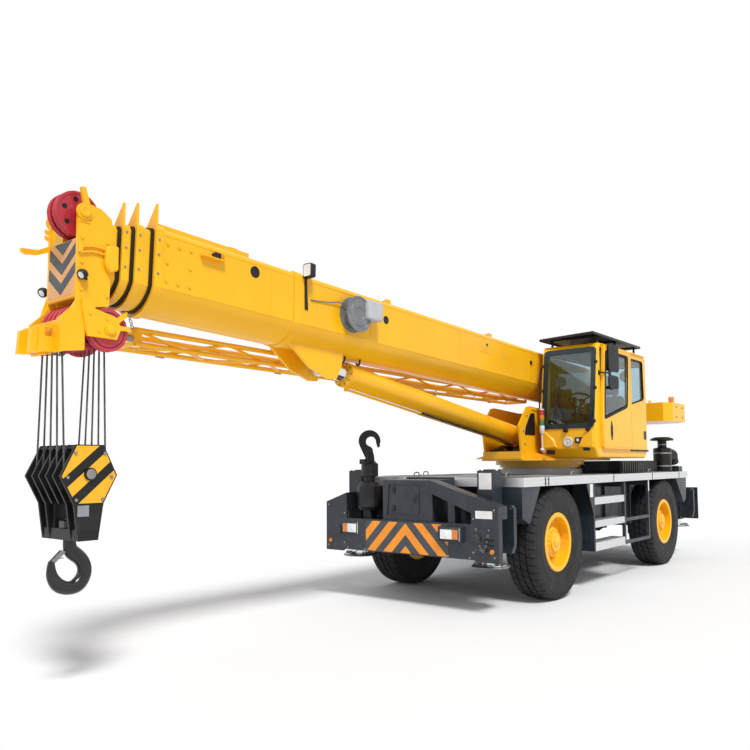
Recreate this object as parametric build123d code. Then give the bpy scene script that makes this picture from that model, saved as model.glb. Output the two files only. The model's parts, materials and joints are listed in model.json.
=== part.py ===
from build123d import *
import os
from math import atan2, cos, degrees, hypot, pi, radians, sin

os.makedirs("parts", exist_ok=True)

# Rough terrain crane, two axles, four-section boom over the front.
# Millimetres. +X forward, +Y to the crane's left (the cab's side), +Z up, ground at Z = 0.
# Everything is laid out from the slewing axis at X = 0 and shifted as it is written,
# so that the origin is under the middle of the whole crane.

# Clearances
seat_gap = 0.3          # between bodies that bear on each other
move_gap = 6.0          # round pieces that slide past each other

# Running gear
wheelbase = 3850.0
tyre_d = 1367.0
tyre_w = 385.0
side_plane = 1235.0     # outer side wall of the tyres, from the middle
rim_r = 317.5
rim_flange_r = 356.0
rim_w = 330.0
rim_wall = 16.0
spindle_r = 95.0
kingpin_y = 860.0
wheel_y = side_plane - tyre_w / 2
axle_z = tyre_d / 2
axle_x = wheelbase / 2
shoulder_lugs = 18        # a side
lug_h = 24.0
lug_w = 120.0
wheel_sides = 28

# Chassis and deck
deck_top = 1474.0
deck_t = 30.0
deck_half = 1278.0
deck_front = 2858.0
deck_rear = -3016.0
trim_h = 104.0
trim_t = 26.0
rail_in = 320.0
rail_out = 420.0
rail_bottom = 860.0
rail_top = 1400.0
frame_front = 2800.0
frame_rear = -2900.0
arch_top = deck_top - trim_h
cabinet_half = 360.0     # box on the front bumper
cabinet_side = cabinet_half + seat_gap

# Outriggers: the left beam runs in the front channel of its box, the right beam in the rear one
bumper_x = 3386.0
box_bottom = 600.0
box_top = 980.0
box_half = deck_half - 38.0
jack_x = 3070.0
jack_y = box_half - 290.0
rear_jack_x = -3380.0
jack_top = 1555.0
jack_side = 200.0
float_z = 500.0
float_r = 215.0
beam_w = 160.0
beam_h = 250.0
beam_wall = 12.0
channel_end = 838.0
beam_stroke = 1850.0
box_plate = 16.0
channel_low = 640.0      # underside of both boxes' channels

# Slewing ring and turntable
ring_r = 600.0
ring_top = 1570.0
base_top = 1800.0
plate_t = 26.0          # turntable side plates
pivot_x = -1750.0       # boom foot pin
pivot_z = 2930.0
foot_x = 476.0          # lift cylinder's lower pin
foot_z = 2007.0

# Cab
cab_y0 = 385.0
cab_y1 = 1200.0
cab_rear = -1310.0
cab_floor = 1700.0
cab_roof = 3300.0
cab_wall = 50.0
door_gap = 6.0
door_t = 40.0

# Boom
boom_deg = 2.2
base_half = 269.0
base_up = 247.0         # from the foot pin's level to the top corner
base_low = -234.0       # and to the bend where the sides turn under
belly = 195.0           # depth of the rounded underside
boom_wall = 9.0
plate_y = base_half + move_gap + plate_t     # outer face of the turntable's side plates
section_step = 25.0     # each section is this much narrower a side than the one outside it
base_length = 8676.0    # foot pin to the base section's collar
tail = -260.0
pad_length = 80.0       # slide pads between the sections
luff_eye_x = 4760.0
luff_eye_z = 2634.0

# Hook block and its falls
falls_back = 125.0      # falls' axle behind and under the head's lower front corner, along the boom
falls_down = 130.0
block_half = 260.0
block_axle_z = 1580.0
block_sheave_r = 165.0
groove_depth = 20.0
sheave_count = 5
rope_r = 8.0


def box(x0, x1, y0, y1, z0, z1):
    return Pos((x0 + x1) / 2, (y0 + y1) / 2, (z0 + z1) / 2) * Box(abs(x1 - x0), abs(y1 - y0), abs(z1 - z0))


def plate_xz(points, y0, y1):
    """A plate cut to an outline in X and Z, from y0 to y1."""
    ring = Polyline(*[(x, y0, z) for x, z in points], close=True)
    return extrude(make_face(ring), amount=y1 - y0, dir=(0, 1, 0))


def rounded(points, r):
    """A flat face with its corners rounded."""
    face = make_face(Polyline(*points, close=True))
    return fillet(face.vertices(), r)


def window_xz(points, r, y0, y1, gap=0.0):
    """A rounded plate or window in X and Z; gap takes that much off all round."""
    face = rounded([(x, y0, z) for x, z in points], r)
    face = offset(face, -gap) if gap else face
    return extrude(face, amount=y1 - y0, dir=(0, 1, 0))


def window_yz(points, r, x0, x1, gap=0.0):
    """The same in Y and Z."""
    face = rounded([(x0, y, z) for y, z in points], r)
    face = offset(face, -gap) if gap else face
    return extrude(face, amount=x1 - x0, dir=(1, 0, 0))


def plate_yz(points, x0, x1):
    """A plate cut to an outline in Y and Z, from x0 to x1."""
    ring = Polyline(*[(x0, y, z) for y, z in points], close=True)
    return extrude(make_face(ring), amount=x1 - x0, dir=(1, 0, 0))


def plate_xy(points, z0, z1):
    """A plate cut to an outline in X and Y, from z0 to z1."""
    ring = Polyline(*[(x, y, z0) for x, y in points], close=True)
    return extrude(make_face(ring), amount=z1 - z0, dir=(0, 0, 1))


def bar(p, q, r):
    """A round bar from p to q."""
    d = Vector(*q) - Vector(*p)
    return Part() + Solid.make_cylinder(r, d.length, Plane(origin=p, z_dir=d))


def ring_y(x, z, r, y0, y1):
    """A round boss or disc about an axis along Y."""
    return bar((x, y0, z), (x, y1, z), r)


def ring_z(x, y, r, z0, z1):
    return bar((x, y, z0), (x, y, z1), r)


def around(r, t, x, y, z, sides):
    """Corners of a regular ring about an axis along Y, the first one straight down."""
    turns = [2 * pi * i / sides for i in range(sides)]
    return [(x + r * sin(a), y + t, z - r * cos(a)) for a in turns]


def turned_y(profile, x, y, z, sides=32):
    """A turned piece about an axis along Y in flat facets: profile rows are radius, offset along Y."""
    faces = []
    for (r0, t0), (r1, t1) in zip(profile, profile[1:] + profile[:1]):
        if t0 == t1:
            inner, outer = sorted((r0, r1))
            hole = [Wire.make_polygon(around(inner, t0, x, y, z, sides))] if inner > 0 else []
            faces.append(Face(Wire.make_polygon(around(outer, t0, x, y, z, sides)), hole))
            continue
        if r0 == r1 == 0:
            continue
        a, b = around(r0, t0, x, y, z, sides), around(r1, t1, x, y, z, sides)
        for i in range(sides):
            j = (i + 1) % sides
            faces.append(Face(Wire.make_polygon([a[i], b[i], b[j], a[j]])))
    return Part() + Solid(Shell(faces))


def turned_z(profile, x, y, z, sides=24):
    """The same about an axis along Z: profile rows are radius, height above z."""
    return Pos(x, y, z) * Rot(90, 0, 0) * turned_y(profile, 0, 0, 0, sides)


def rod(p, q, r, sides=8):
    """A slender tube or rope from p to q, many-sided."""
    d = Vector(*q) - Vector(*p)
    return extrude(Plane(origin=p, z_dir=d) * RegularPolygon(r, sides), amount=d.length)


def hook_plate(x, y, z, r_out, r_in, shank_z, half):
    """Forged hook drawn flat in X and Z, thinned towards its edges; the throat opens to +X."""
    width = r_out - r_in
    throat = Pos(x + width * 0.22, z + width * 0.1) * Circle(r_in)
    outline = Pos(x, z) * Circle(r_out) - throat
    outline -= Pos(x + r_out / 2 + 20, z + r_out / 2 + 15) * Rectangle(r_out + 2, r_out)
    tip = Polyline(
        (x + r_in + width * 0.22, z + 8), (x + r_out * 0.985, z + 8), (x + r_out * 0.93, z + r_out * 0.52),
        (x + r_out * 0.80, z + r_out * 0.62), (x + r_out * 0.68, z + r_out * 0.50), close=True)
    outline += make_face(tip)
    # square the ring off under the shank, and slope its shoulder up to it
    outline -= Pos(x, shank_z + r_out / 2) * Rectangle(2 * r_out + 20, r_out)
    top = max(shank_z, z + r_out) + 10
    shoulder = Polyline((x - r_out - 5, z + r_out * 0.45), (x - 58, shank_z), (x - 58, top), (x - r_out - 5, top),
                        close=True)
    outline -= make_face(shoulder)
    neck = Polyline((x - r_out * 0.90, z + r_in), (x - 58, shank_z), (x + 58, shank_z), (x + 34, z + r_in * 1.5),
                    (x - 24, z + r_in * 0.8), close=True)
    outline += make_face(neck)
    solid = extrude(outline, amount=half, both=True)
    return Pos(0, y, 0) * Rot(90, 0, 0) * solid


def both_sides(shape):
    return shape + mirror(shape, Plane.XZ)


# The boom's own frame: foot pin at its origin, +X along the boom
def to_boom(x, z):
    """World X, Z to the boom's frame."""
    dx, dz = x - pivot_x, z - pivot_z
    a = radians(boom_deg)
    return dx * cos(a) + dz * sin(a), -dx * sin(a) + dz * cos(a)


def from_boom(x, z):
    """Boom frame X, Z to the world."""
    a = radians(boom_deg)
    return pivot_x + x * cos(a) - z * sin(a), pivot_z + x * sin(a) + z * cos(a)


# Lower front corner of the head's side plates
head_x = base_length + 592.0
head_z = -496.0
falls_x, falls_z = from_boom(head_x - falls_back, head_z - falls_down)

# The whole crane's reach sets the shift of the origin.
nose_reach = 256.0
nose_x = from_boom(head_x, head_z)[0] + nose_reach
tail_x = -3720.0
shift = -(nose_x + tail_x) / 2

nodes = {}


def put(name, shape):
    nodes[name] = Pos(shift, 0, 0) * shape


# Wheels

def tyre_at(x, y):
    """Carcass with staggered lugs along both shoulders, out to the tyre's full width and height."""
    half = tyre_w / 2
    r = tyre_d / 2
    floor_r = r - lug_h
    bore = rim_r + seat_gap
    bead = rim_w / 2 - 18 - seat_gap
    outer = [
        (bore, bead), (rim_flange_r + 8, bead), (r * 0.74, half),
        (r * 0.88, half * 0.97), (floor_r, half * 0.78),
    ]
    profile = outer + [(a, -t) for a, t in reversed(outer)]
    shape = turned_y(profile, x, y, axle_z, wheel_sides)
    block = [(half * 0.25, r), (half * 0.80, r), (half * 0.975, r * 0.89), (half * 0.25, floor_r - 30)]
    lugs = []
    for side in (-1, 1):
        for i in range(shoulder_lugs):
            turn = 360 * (i + (0 if side > 0 else 0.5)) / shoulder_lugs
            lug = plate_yz([(side * t, -up) for t, up in block], -lug_w / 2, lug_w / 2)
            lugs.append(Pos(x, y, axle_z) * Rot(0, turn, 0) * lug)
    return shape + lugs


def rim_at(x, y, out):
    """Rim well, bead flanges, dished disc and planetary hub; out is +1 on the left."""
    half = rim_w / 2
    inner = rim_r - rim_wall
    well = turned_y([
        (inner, -half), (rim_flange_r, -half), (rim_flange_r, -half + 12), (rim_r, -half + 18),
        (rim_r, half - 18), (rim_flange_r, half - 12), (rim_flange_r, half), (inner, half),
    ], x, y, axle_z, wheel_sides)
    spindle_bore = (spindle_r + seat_gap) / cos(pi / wheel_sides)
    disc = [
        (0, 16), (spindle_bore, 16), (spindle_bore, -60), (150, -60), (150, 0), (inner + 1, 20),
        (inner + 1, 44), (190, 30), (176, 96), (120, 112), (112, 142), (0, 142),
    ]
    hub = turned_y([(r, out * t) for r, t in disc], x, y, axle_z, wheel_sides)
    return well + hub


def knuckle_at(x, side):
    """Kingpin barrel, spindle and steering arm; side is +1 on the left."""
    kp = side * kingpin_y
    barrel = ring_z(x, kp, 105, axle_z - 165, axle_z + 165)
    face = side * (wheel_y - 70)
    drum = ring_y(x, axle_z, 165, kp, face)
    drum = drum & box(x - 165, x + 165, kp - side * 5, face, axle_z - 165, axle_z + 165)
    spindle = ring_y(x, axle_z, spindle_r, kp, side * (wheel_y + 16 - seat_gap))
    toward = -1 if x > 0 else 1
    arm = box(x, x + toward * 235, kp - side * 20, kp - side * 70, axle_z - 75, axle_z - 25)
    return barrel + drum + spindle + arm


def axle_at(x):
    """Beam axle with its differential, forked ends for the kingpins and seats for the frame."""
    tube = ring_y(x, axle_z, 92, -660, 660)
    bulge = turned_y([(0, -230), (120, -230), (205, -110), (205, 110), (120, 230), (0, 230)], x, 0, axle_z, 16)
    nose = bar((x, 0, axle_z), (x - 330 if x > 0 else x + 330, 0, axle_z + 30), 90)
    shape = tube + bulge + nose
    inner = kingpin_y - 105 - 30
    for side in (-1, 1):
        web = box(x - 85, x + 85, side * (inner - 90), side * inner, axle_z - 215, axle_z + 215)
        shape += web
        for up in (-1, 1):
            low = up * (165 + seat_gap)
            high = up * 215
            lug = box(x - 85, x + 85, side * (inner - 40), side * kingpin_y, axle_z + low, axle_z + high)
            shape += lug + ring_z(x, side * kingpin_y, 85, axle_z + low, axle_z + high)
        shape += box(x - 130, x + 130, side * 340, side * 400, axle_z + 60, rail_bottom)
    return shape


corners = [
    # tag, X, side
    ("front_left", axle_x, 1),
    ("front_right", axle_x, -1),
    ("rear_left", -axle_x, 1),
    ("rear_right", -axle_x, -1),
]
for tag, x, side in corners:
    put("tyre_" + tag, tyre_at(x, side * wheel_y))
    put("rim_" + tag, rim_at(x, side * wheel_y, side))
    put("knuckle_" + tag, knuckle_at(x, side))
put("front_axle", axle_at(axle_x))
put("rear_axle", axle_at(-axle_x))


# Chassis frame

def chassis_frame():
    shape = box(frame_rear, frame_front, rail_in, rail_out, rail_bottom, rail_top)
    shape += mirror(shape, Plane.XZ)
    cross = [
        # x0, x1, bottom
        (frame_front - 120, frame_front, rail_bottom),
        (900, 980, rail_bottom + 60),
        (-980, -900, rail_bottom + 60),
        (frame_rear, frame_rear + 100, rail_bottom),
    ]
    for x0, x1, bottom in cross:
        shape += box(x0, x1, -rail_in, rail_in, bottom, rail_top)
    shape += box(-1120, 1120, -640, 640, rail_top, deck_top - deck_t)
    wide = deck_half - trim_t - 20
    narrow = 870.0
    beams = [
        # x0, x1, half width
        (frame_front - 140, frame_front, narrow),
        (1010, 1080, wide),
        (-1080, -1010, wide),
        (frame_rear, frame_rear + 120, narrow),
    ]
    for x0, x1, half in beams:
        shape += box(x0, x1, -half, half, rail_top - 30, deck_top - deck_t)
    return shape


put("chassis_frame", chassis_frame())


def deck():
    edge = deck_half - trim_t
    shape = box(deck_rear, deck_front, -edge, edge, deck_top - deck_t, deck_top)
    return shape


put("deck", deck())


def trim_section(y0, out):
    """Outline of the trim in Y and Z, with two grooves along its face; out is the way it faces."""
    z = [arch_top + trim_h * share for share in (0, 0.22, 0.28, 0.66, 0.72, 1)]
    face, groove = y0 + out * trim_t, y0 + out * (trim_t - 7)
    return [
        (y0, z[0]), (face, z[0]), (face, z[1]), (groove, z[1]), (groove, z[2]), (face, z[2]),
        (face, z[3]), (groove, z[3]), (groove, z[4]), (face, z[4]), (face, z[5]), (y0, z[5]),
    ]


def deck_trim():
    """Grooved aluminium edge along both sides and round the front corners."""
    shape = Part()
    for side in (-1, 1):
        shape += plate_yz(trim_section(side * (deck_half - trim_t), side), deck_rear, deck_front + trim_t)
        shape += box(deck_front, deck_front + trim_t, side * cabinet_side, side * (deck_half - 1), arch_top, deck_top)
    return shape


put("deck_trim", deck_trim())


# Fender boxes under the deck's corners
fender_in = 880.0


def fenders():
    wall = 20.0
    top = deck_top - deck_t
    low = arch_top - seat_gap
    front_face = deck_front + trim_t
    front = [
        (2390, top), (deck_front - seat_gap, top), (deck_front - seat_gap, low), (front_face, low),
        (front_face, 1020), (deck_front - 142, 952), (2436, low),
    ]
    rear = [(-2410, top), (deck_rear, top), (deck_rear + 56, 1000), (deck_rear + 186, 950), (-2450, low)]
    shape = Part()
    y1 = deck_half - trim_t - seat_gap
    for outline in (front, rear):
        shell = plate_xz(outline, fender_in, y1)
        xs = [p[0] for p in outline]
        mid = sum(xs) / len(xs)
        inner = [(mid + (x - mid) * 0.82, z if z > low else z + (top - z) * 0.10) for x, z in outline]
        pocket = plate_xz([(x, z + (40 if z > low else 0)) for x, z in inner], fender_in + wall, y1 - wall)
        shape += shell - pocket
    return both_sides(shape)


put("fenders", fenders())


# Steps and racks between the wheels
step_x0 = -120.0
step_x1 = 1000.0
rack_x0 = -1090.0


def steps():
    """Folded posts with three treads a side, and a rack frame behind them."""
    y1 = deck_half - 4
    post = 45.0
    deep = 330.0
    tread_deep = 200.0
    low = 482.0
    shape = Part()
    for x in (step_x1 - post, step_x0, rack_x0):
        shape += box(x, x + post, y1 - post, y1, low, arch_top)
        shape += box(x, x + post, y1 - deep, y1 - deep + post, 700, arch_top)
        shape += box(x, x + post, y1 - deep, y1, 1290, arch_top - seat_gap)
    # the front post flares into the wheel arch, and a panel closes the unit towards the wheel
    flare = [(step_x1 - 1, arch_top), (step_x1 + 190, arch_top), (step_x1 + 190, arch_top - 40), (step_x1 - 1, 960)]
    shape += plate_xz(flare, y1 - 14, y1)
    shape += box(step_x1 - 8, step_x1, y1 - deep, y1 - post + 1, low, arch_top)
    for z0, z1 in [(low, 592), (786, 876), (1084, 1180)]:
        tread = box(step_x0 + post, step_x1 - post, y1 - tread_deep, y1, z0, z1)
        for share in (0.3, 0.62):
            z = z0 + (z1 - z0) * share
            tread -= box(step_x0 + post, step_x1 - post, y1 - 6, y1 + 1, z, z + 7)
        shape += tread
    for z in (low, 800):
        shape += box(rack_x0 + post - 1, step_x0 + 1, y1 - post, y1, z, z + 50)
    return both_sides(shape)


put("steps", steps())


def side_tanks():
    """Fuel tank behind the right steps and battery box behind the left ones."""
    y0 = rail_out
    y1 = deck_half - 4 - 330
    left = box(step_x0, step_x1 - 20, y0, y1, 880, arch_top - 60)
    right = box(step_x0 - 200, step_x1 - 20, -y1, -y0, 800, arch_top - 60)
    right = fillet(right.edges().filter_by(Axis.X), 60)
    return left + right


put("side_tanks", side_tanks())


# Engine, its hood and the air intake
hood_top = 1664.0
hood_rear = -2500.0
hood_half = 930.0


def engine_block():
    return box(-2740, -1560, -rail_in + seat_gap, rail_in - seat_gap, 925, rail_top)


put("engine_block", engine_block())


def engine_hood():
    """Low hood on the deck, hollowed, its front cut round the turntable, louvres down the sides."""
    wall = 14.0
    shape = box(hood_rear, -850, -hood_half, hood_half, deck_top, hood_top)
    shape -= ring_z(0, 0, 1262, deck_top - 1, hood_top + 1)
    inner = box(hood_rear + wall, -850, -hood_half + wall, hood_half - wall, deck_top - 1, hood_top - wall)
    inner -= ring_z(0, 0, 1262 + wall, deck_top - 2, hood_top + 1)
    shape -= inner
    slats = 16
    pitch = 95.0
    for i in range(slats):
        x = -930 - i * pitch
        slat = box(x - 30, x + 30, hood_half - 1, hood_half + 14, deck_top + 18, hood_top - 16)
        shape += slat + mirror(slat, Plane.XZ)
    return shape


put("engine_hood", engine_hood())


def air_intake():
    """Pre-cleaner cap on its canister and a ribbed elbow over the deck's rear edge."""
    x, y = -2760.0, deck_half - 338
    top = 2070.0
    rows = [(0, 0), (150, 0), (150, 400), (75, 420), (75, top - deck_top - 70), (190, top - deck_top - 60),
            (190, top - deck_top - 25), (110, top - deck_top), (0, top - deck_top)]
    shape = turned_z(rows, x, y, deck_top)
    bend = (x - 480, y, 1745)
    start = (x, y, 1800)
    shape += rod(start, bend, 105, 16) + rod(bend, (x - 540, y, 1625), 105, 16)
    ribs = 7
    for i in range(ribs):
        share = (i + 3.2) / (ribs + 3)
        a = [p + (q - p) * share for p, q in zip(start, bend)]
        b = [p + (q - p) * (share + 0.045) for p, q in zip(start, bend)]
        shape += rod(a, b, 120, 16)
    return shape


put("air_intake", air_intake())


# Outrigger boxes, front and rear; facing is +1 for the front box

def channels(x_jack, facing):
    """X spans of the left beam's channel and the right beam's channel."""
    reach = jack_side / 2 - 20
    left = (x_jack + facing * reach, x_jack + facing * (reach + beam_w))
    right = (x_jack - facing * reach, x_jack - facing * (reach + beam_w))
    return left, right


def outrigger_box(x_jack, facing):
    left, right = channels(x_jack, facing)
    outer_a = left[1] + facing * (move_gap + box_plate)
    outer_b = right[1] - facing * (move_gap + box_plate)
    lo, hi = min(outer_a, outer_b), max(outer_a, outer_b)
    low_z = channel_low
    top_z = low_z + box_plate + seat_gap + beam_h + move_gap + box_plate
    shape = box(lo, hi, -channel_end, channel_end, low_z, top_z)
    for x0, x1 in (left, right):
        a, b = min(x0, x1) - move_gap, max(x0, x1) + move_gap
        shape -= box(a, b, -channel_end - 1, channel_end + 1, low_z + box_plate, top_z - box_plate)
    return shape, lo, hi, low_z, top_z


beam_z0 = channel_low + box_plate + seat_gap


lamp_seat = bumper_x + 48.0


def front_outrigger_box():
    shape, lo, hi, low_z, top_z = outrigger_box(jack_x, 1)
    # seat against the frame's front, above the channels
    shape += box(frame_front, lo + 1, -rail_out, rail_out, rail_bottom, top_z)
    shape += box(frame_front, frame_front + 40, -rail_out, rail_out, top_z - 1, rail_top)
    face = 20.0
    front = [
        (-box_half, 580), (-960, 580), (-930, box_bottom), (930, box_bottom), (960, 580), (box_half, 580),
        (box_half, 1175), (900, 1290), (900, box_top), (-900, box_top), (-900, 1290), (-box_half, 1175),
    ]
    shape += plate_yz(front, bumper_x - face, bumper_x)
    shape += box(hi - 1, bumper_x - face + 1, -channel_end + 60, channel_end - 60, low_z, low_z + 60)
    shape += box(hi - 1, bumper_x - face + 1, -channel_end + 60, channel_end - 60, top_z - 60, top_z)
    # cabinet in the middle, up to the deck, its door sunk in the front
    cabinet_x = bumper_x - 45
    shape += box(frame_front + 39, cabinet_x, -cabinet_half, cabinet_half, top_z, rail_top - 10)
    shape += box(deck_front, cabinet_x, -cabinet_half, cabinet_half, rail_top - 11, 1450)
    shape -= window_yz([(-300, 1030), (-270, 1400), (230, 1400), (260, 1030)], 15, cabinet_x - 12, cabinet_x + 1)
    shape += window_yz([(-170, 1060), (-170, 1385), (170, 1385), (170, 1060)], 15, cabinet_x - 13, cabinet_x - 4)
    shape += box(cabinet_x - 1, bumper_x, -900, 900, box_top - 20, box_top)
    # sloping arms from the cabinet to the end plates
    arm = plate_yz([(355, 1450), (355, 1310), (905, 1100), (box_half, 1040), (box_half, 1175)], 3200, bumper_x)
    arm += box(3200, bumper_x - 60, 560, 650, top_z - 1, 1240)
    stub = plate_yz([(-905, 1292), (-905, 1100), (-box_half, 1040), (-box_half, 1175)], 3200, bumper_x)
    shape += arm + stub
    flange = box(3310, bumper_x - face + 1, box_half - 20, box_half, 590, 1100)
    shape += both_sides(flange)
    for y in (jack_y + 25, -jack_y - 75):
        shape += bar((bumper_x - 1, y, 835), (bumper_x + 24, y, 835), 46)
    # the left head lamp stands out in its own housing
    shape += box(bumper_x - 1, lamp_seat, 495, 805, 782, 948)
    return shape


put("front_outrigger_box", front_outrigger_box())


def rear_outrigger_box():
    shape, lo, hi, low_z, top_z = outrigger_box(rear_jack_x, -1)
    shape += box(hi - 1, frame_rear, -rail_out, rail_out, rail_bottom, top_z)
    shape += box(frame_rear - 300, frame_rear, -rail_out, rail_out, top_z - 1, rail_top - 60)
    lamp_t = 22.0
    rear_face = tail_x + lamp_t + 20
    foot = channel_low - 20
    plate = [(-box_half, foot), (box_half, foot), (box_half, 1180), (700, 1180), (600, 1330), (-600, 1330), (-700, 1180),
             (-box_half, 1180)]
    shape += plate_yz(plate, tail_x + lamp_t, rear_face)
    shape += box(rear_face - 1, lo + 1, -channel_end + 60, channel_end - 60, low_z, low_z + 60)
    shape += box(rear_face - 1, lo + 1, -channel_end + 60, channel_end - 60, top_z - 60, top_z)
    return shape


put("rear_outrigger_box", rear_outrigger_box())


def beam_and_sleeve(x_jack, facing, side):
    """Outrigger beam with the jack's square sleeve at its end."""
    left, right = channels(x_jack, facing)
    x0, x1 = left if side > 0 else right
    a, b = min(x0, x1), max(x0, x1)
    z0, z1 = beam_z0, beam_z0 + beam_h
    end = side * (jack_y + jack_side / 2)
    tail_end = -side * (channel_end - 40)
    shape = box(a, b, tail_end, end, z0, z1)
    shape -= box(a + beam_wall, b - beam_wall, tail_end - side, side * (channel_end - 60), z0 + beam_wall, z1 - beam_wall)
    half = jack_side / 2
    sleeve = box(x_jack - half, x_jack + half, side * (jack_y - half), side * (jack_y + half), z0 - 30, jack_top)
    shape += sleeve
    fin = plate_yz([
        (side * (jack_y + half - 5), 660), (side * 1230, 660), (side * 1262, 760), (side * 1262, 1140),
        (side * 1235, 1180), (side * (jack_y + half - 5), 1180),
    ], x_jack - 30, x_jack + 30)
    fin -= bar((x_jack - 40, side * 1225, 1145), (x_jack + 40, side * 1225, 1145), 16)
    shape += fin
    shape -= ring_z(x_jack, side * jack_y, 72, z0 - 31, jack_top - 40)
    return shape


def jack_at(x_jack, side):
    """Jack ram and its float."""
    y = side * jack_y
    ram = ring_z(x_jack, y, 72 - seat_gap, float_z + 60, jack_top - 60)
    foot = ring_z(x_jack, y, 110, float_z + 28, float_z + 62)
    pad = Pos(x_jack, y, float_z) * Cone(float_r, float_r - 25, 28, align=(Align.CENTER, Align.CENTER, Align.MIN))
    return ram + foot + pad


stations = [
    # tag, jack X, facing, side
    ("front_left", jack_x, 1, 1),
    ("front_right", jack_x, 1, -1),
    ("rear_left", rear_jack_x, -1, 1),
    ("rear_right", rear_jack_x, -1, -1),
]
for tag, x, facing, side in stations:
    put("outrigger_beam_" + tag, beam_and_sleeve(x, facing, side))
    put("outrigger_jack_" + tag, jack_at(x, side))


def lamps():
    """Head lamps on the front plate and tail lamps on the rear plate."""
    t = 12.0
    shape = box(lamp_seat, lamp_seat + t, 520, 780, 800, 930)
    shape += box(bumper_x, bumper_x + t, -970, -720, 800, 930)
    for side in (-1, 1):
        shape += box(tail_x, tail_x + 22, side * 700, side * 1000, 860, 960)
    return shape


put("lamps", lamps())


def auxiliary_hook():
    """Single-line hook and its ball weight, stowed upright on the right front corner."""
    x, y = 3190.0, -690.0
    seat_z = beam_z0 + beam_h + move_gap + box_plate
    post = box(x - 60, x + 60, y - 60, y + 60, seat_z, 1085)
    rows = [(0, 0), (120, 0), (152, 40), (152, 290), (110, 345), (70, 355), (70, 400), (105, 410), (105, 560),
            (62, 600), (48, 690), (0, 690)]
    swivel = turned_z(rows, x, y, 1080)
    bow = hook_plate(0, 0, 0, 135, 62, 200, 34)
    bow = Pos(x, y, 1925) * Rot(0, 0, 128) * mirror(bow, Plane.XY)
    ear = box(x + 60, x + 165, y - 25, y + 55, 1640, 1700)
    return post + swivel + bow + ear


put("auxiliary_hook", auxiliary_hook())


def slewing_ring():
    """Toothed ring on the frame's top plate."""
    shape = ring_z(0, 0, ring_r + 30, deck_top, ring_top - 20) + ring_z(0, 0, ring_r - 40, ring_top - 20, ring_top)
    return shape


put("slewing_ring", slewing_ring())


# Turntable

def turntable_frame():
    """Base plate, two side plates up to the boom foot, cab bracket and the cylinder's foot lugs."""
    ring_bottom = ring_top + seat_gap
    shape = ring_z(0, 0, ring_r, ring_bottom, ring_bottom + 40)
    base_bottom = hood_top + 8
    shape += ring_z(0, 0, ring_r + 60, ring_bottom + 40, base_bottom)
    base = [(1130, -330), (1130, 330), (300, 700), (-1180, 700), (-1180, -700), (300, -700)]
    plate_top = cab_floor - seat_gap
    shape += plate_xy(base, base_bottom, plate_top) & ring_z(0, 0, 1240, base_bottom, plate_top)
    shape += box(700, 1140, -plate_y, plate_y, plate_top - 1, base_top)
    for s in (-1, 1):
        gusset = [(s * 250, plate_top), (s * 250, base_top), (s * plate_y, base_top), (s * 640, plate_top)]
        shape += plate_yz(gusset, 800, 820) & ring_z(0, 0, 1240, base_bottom, base_top + 1)
    side = [
        # floor front, up the raised nose over the lift cylinder, along the top to the boom foot, round the tail
        (1120, 1700), (1120, 1810), (1178, 2150), (935, 2425), (840, 2440), (120, 2400), (-600, 2420),
        (-1450, 3030), (-1900, 3080), (-1990, 2900), (-1900, 2650), (-2520, 2560), (-2520, 2330),
        (-1750, 2200), (-1200, 1700),
    ]
    for s in (-1, 1):
        shape += plate_xz(side, s * plate_y, s * (plate_y - plate_t))
    shape += box(-2520, -2080, -plate_y, plate_y, 2330, 2380)
    shape += box(-1650, -1550, -plate_y, plate_y, 2120, 2400)
    # foot pin lugs
    for s in (-1, 1):
        shape += ring_y(foot_x, foot_z, 130, s * 105, s * (plate_y - 5))
        shape += ring_y(pivot_x, pivot_z, 150, s * (base_half + move_gap), s * (plate_y + 25))
    return shape


def turntable_bores(shape):
    """Pin holes for the boom foot and the cylinder's foot."""
    shape -= ring_y(pivot_x, pivot_z, 60, -plate_y - 60, plate_y + 60)
    shape -= ring_y(foot_x, foot_z, 50, -plate_y - 60, plate_y + 60)
    return shape


put("turntable_frame", turntable_bores(turntable_frame()))


def pivot_pins():
    """Boom foot pin and lift cylinder foot pin, fixed in the side plates."""
    shape = ring_y(pivot_x, pivot_z, 60, -plate_y - 40, plate_y + 40)
    shape += ring_y(foot_x, foot_z, 50, -plate_y - 20, plate_y + 20)
    return shape


put("pivot_pins", pivot_pins())


def counterweight():
    """Slab behind the turntable with rounded ends."""
    z0, z1 = 2330.0, 2640.0
    plan = [(-2300, -1130), (-2300, 1130), (-2420, 1250), (-3080, 1250), (-3330, 1060), (-3420, 700), (-3420, -700),
            (-3330, -1060), (-3080, -1250), (-2420, -1250)]
    shape = plate_xy(plan, z0, z1)
    shape -= box(-2521, -2200, -plate_y, plate_y, z0 - 1, z1 + 1)
    shape = fillet(shape.edges().filter_by(Axis.Z).sort_by(Axis.X)[:6], 60)
    return shape


put("counterweight", counterweight())


def winch():
    """Rope drum with its flanges and a wound layer of rope, behind the boom foot."""
    x, z = -2300.0, 2380.0 + 215
    drum = turned_y([
        (0, -215), (205, -215), (205, -195), (150, -195), (150, 195), (205, 195), (205, 215), (0, 215),
    ], x, 0, z)
    seat = box(x - 120, x + 120, 235, plate_y - plate_t, 2380, z + 60) + ring_y(x, z, 90, 210, plate_y - plate_t)
    return drum + both_sides(seat)


put("winch", winch())


# Cab

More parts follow.
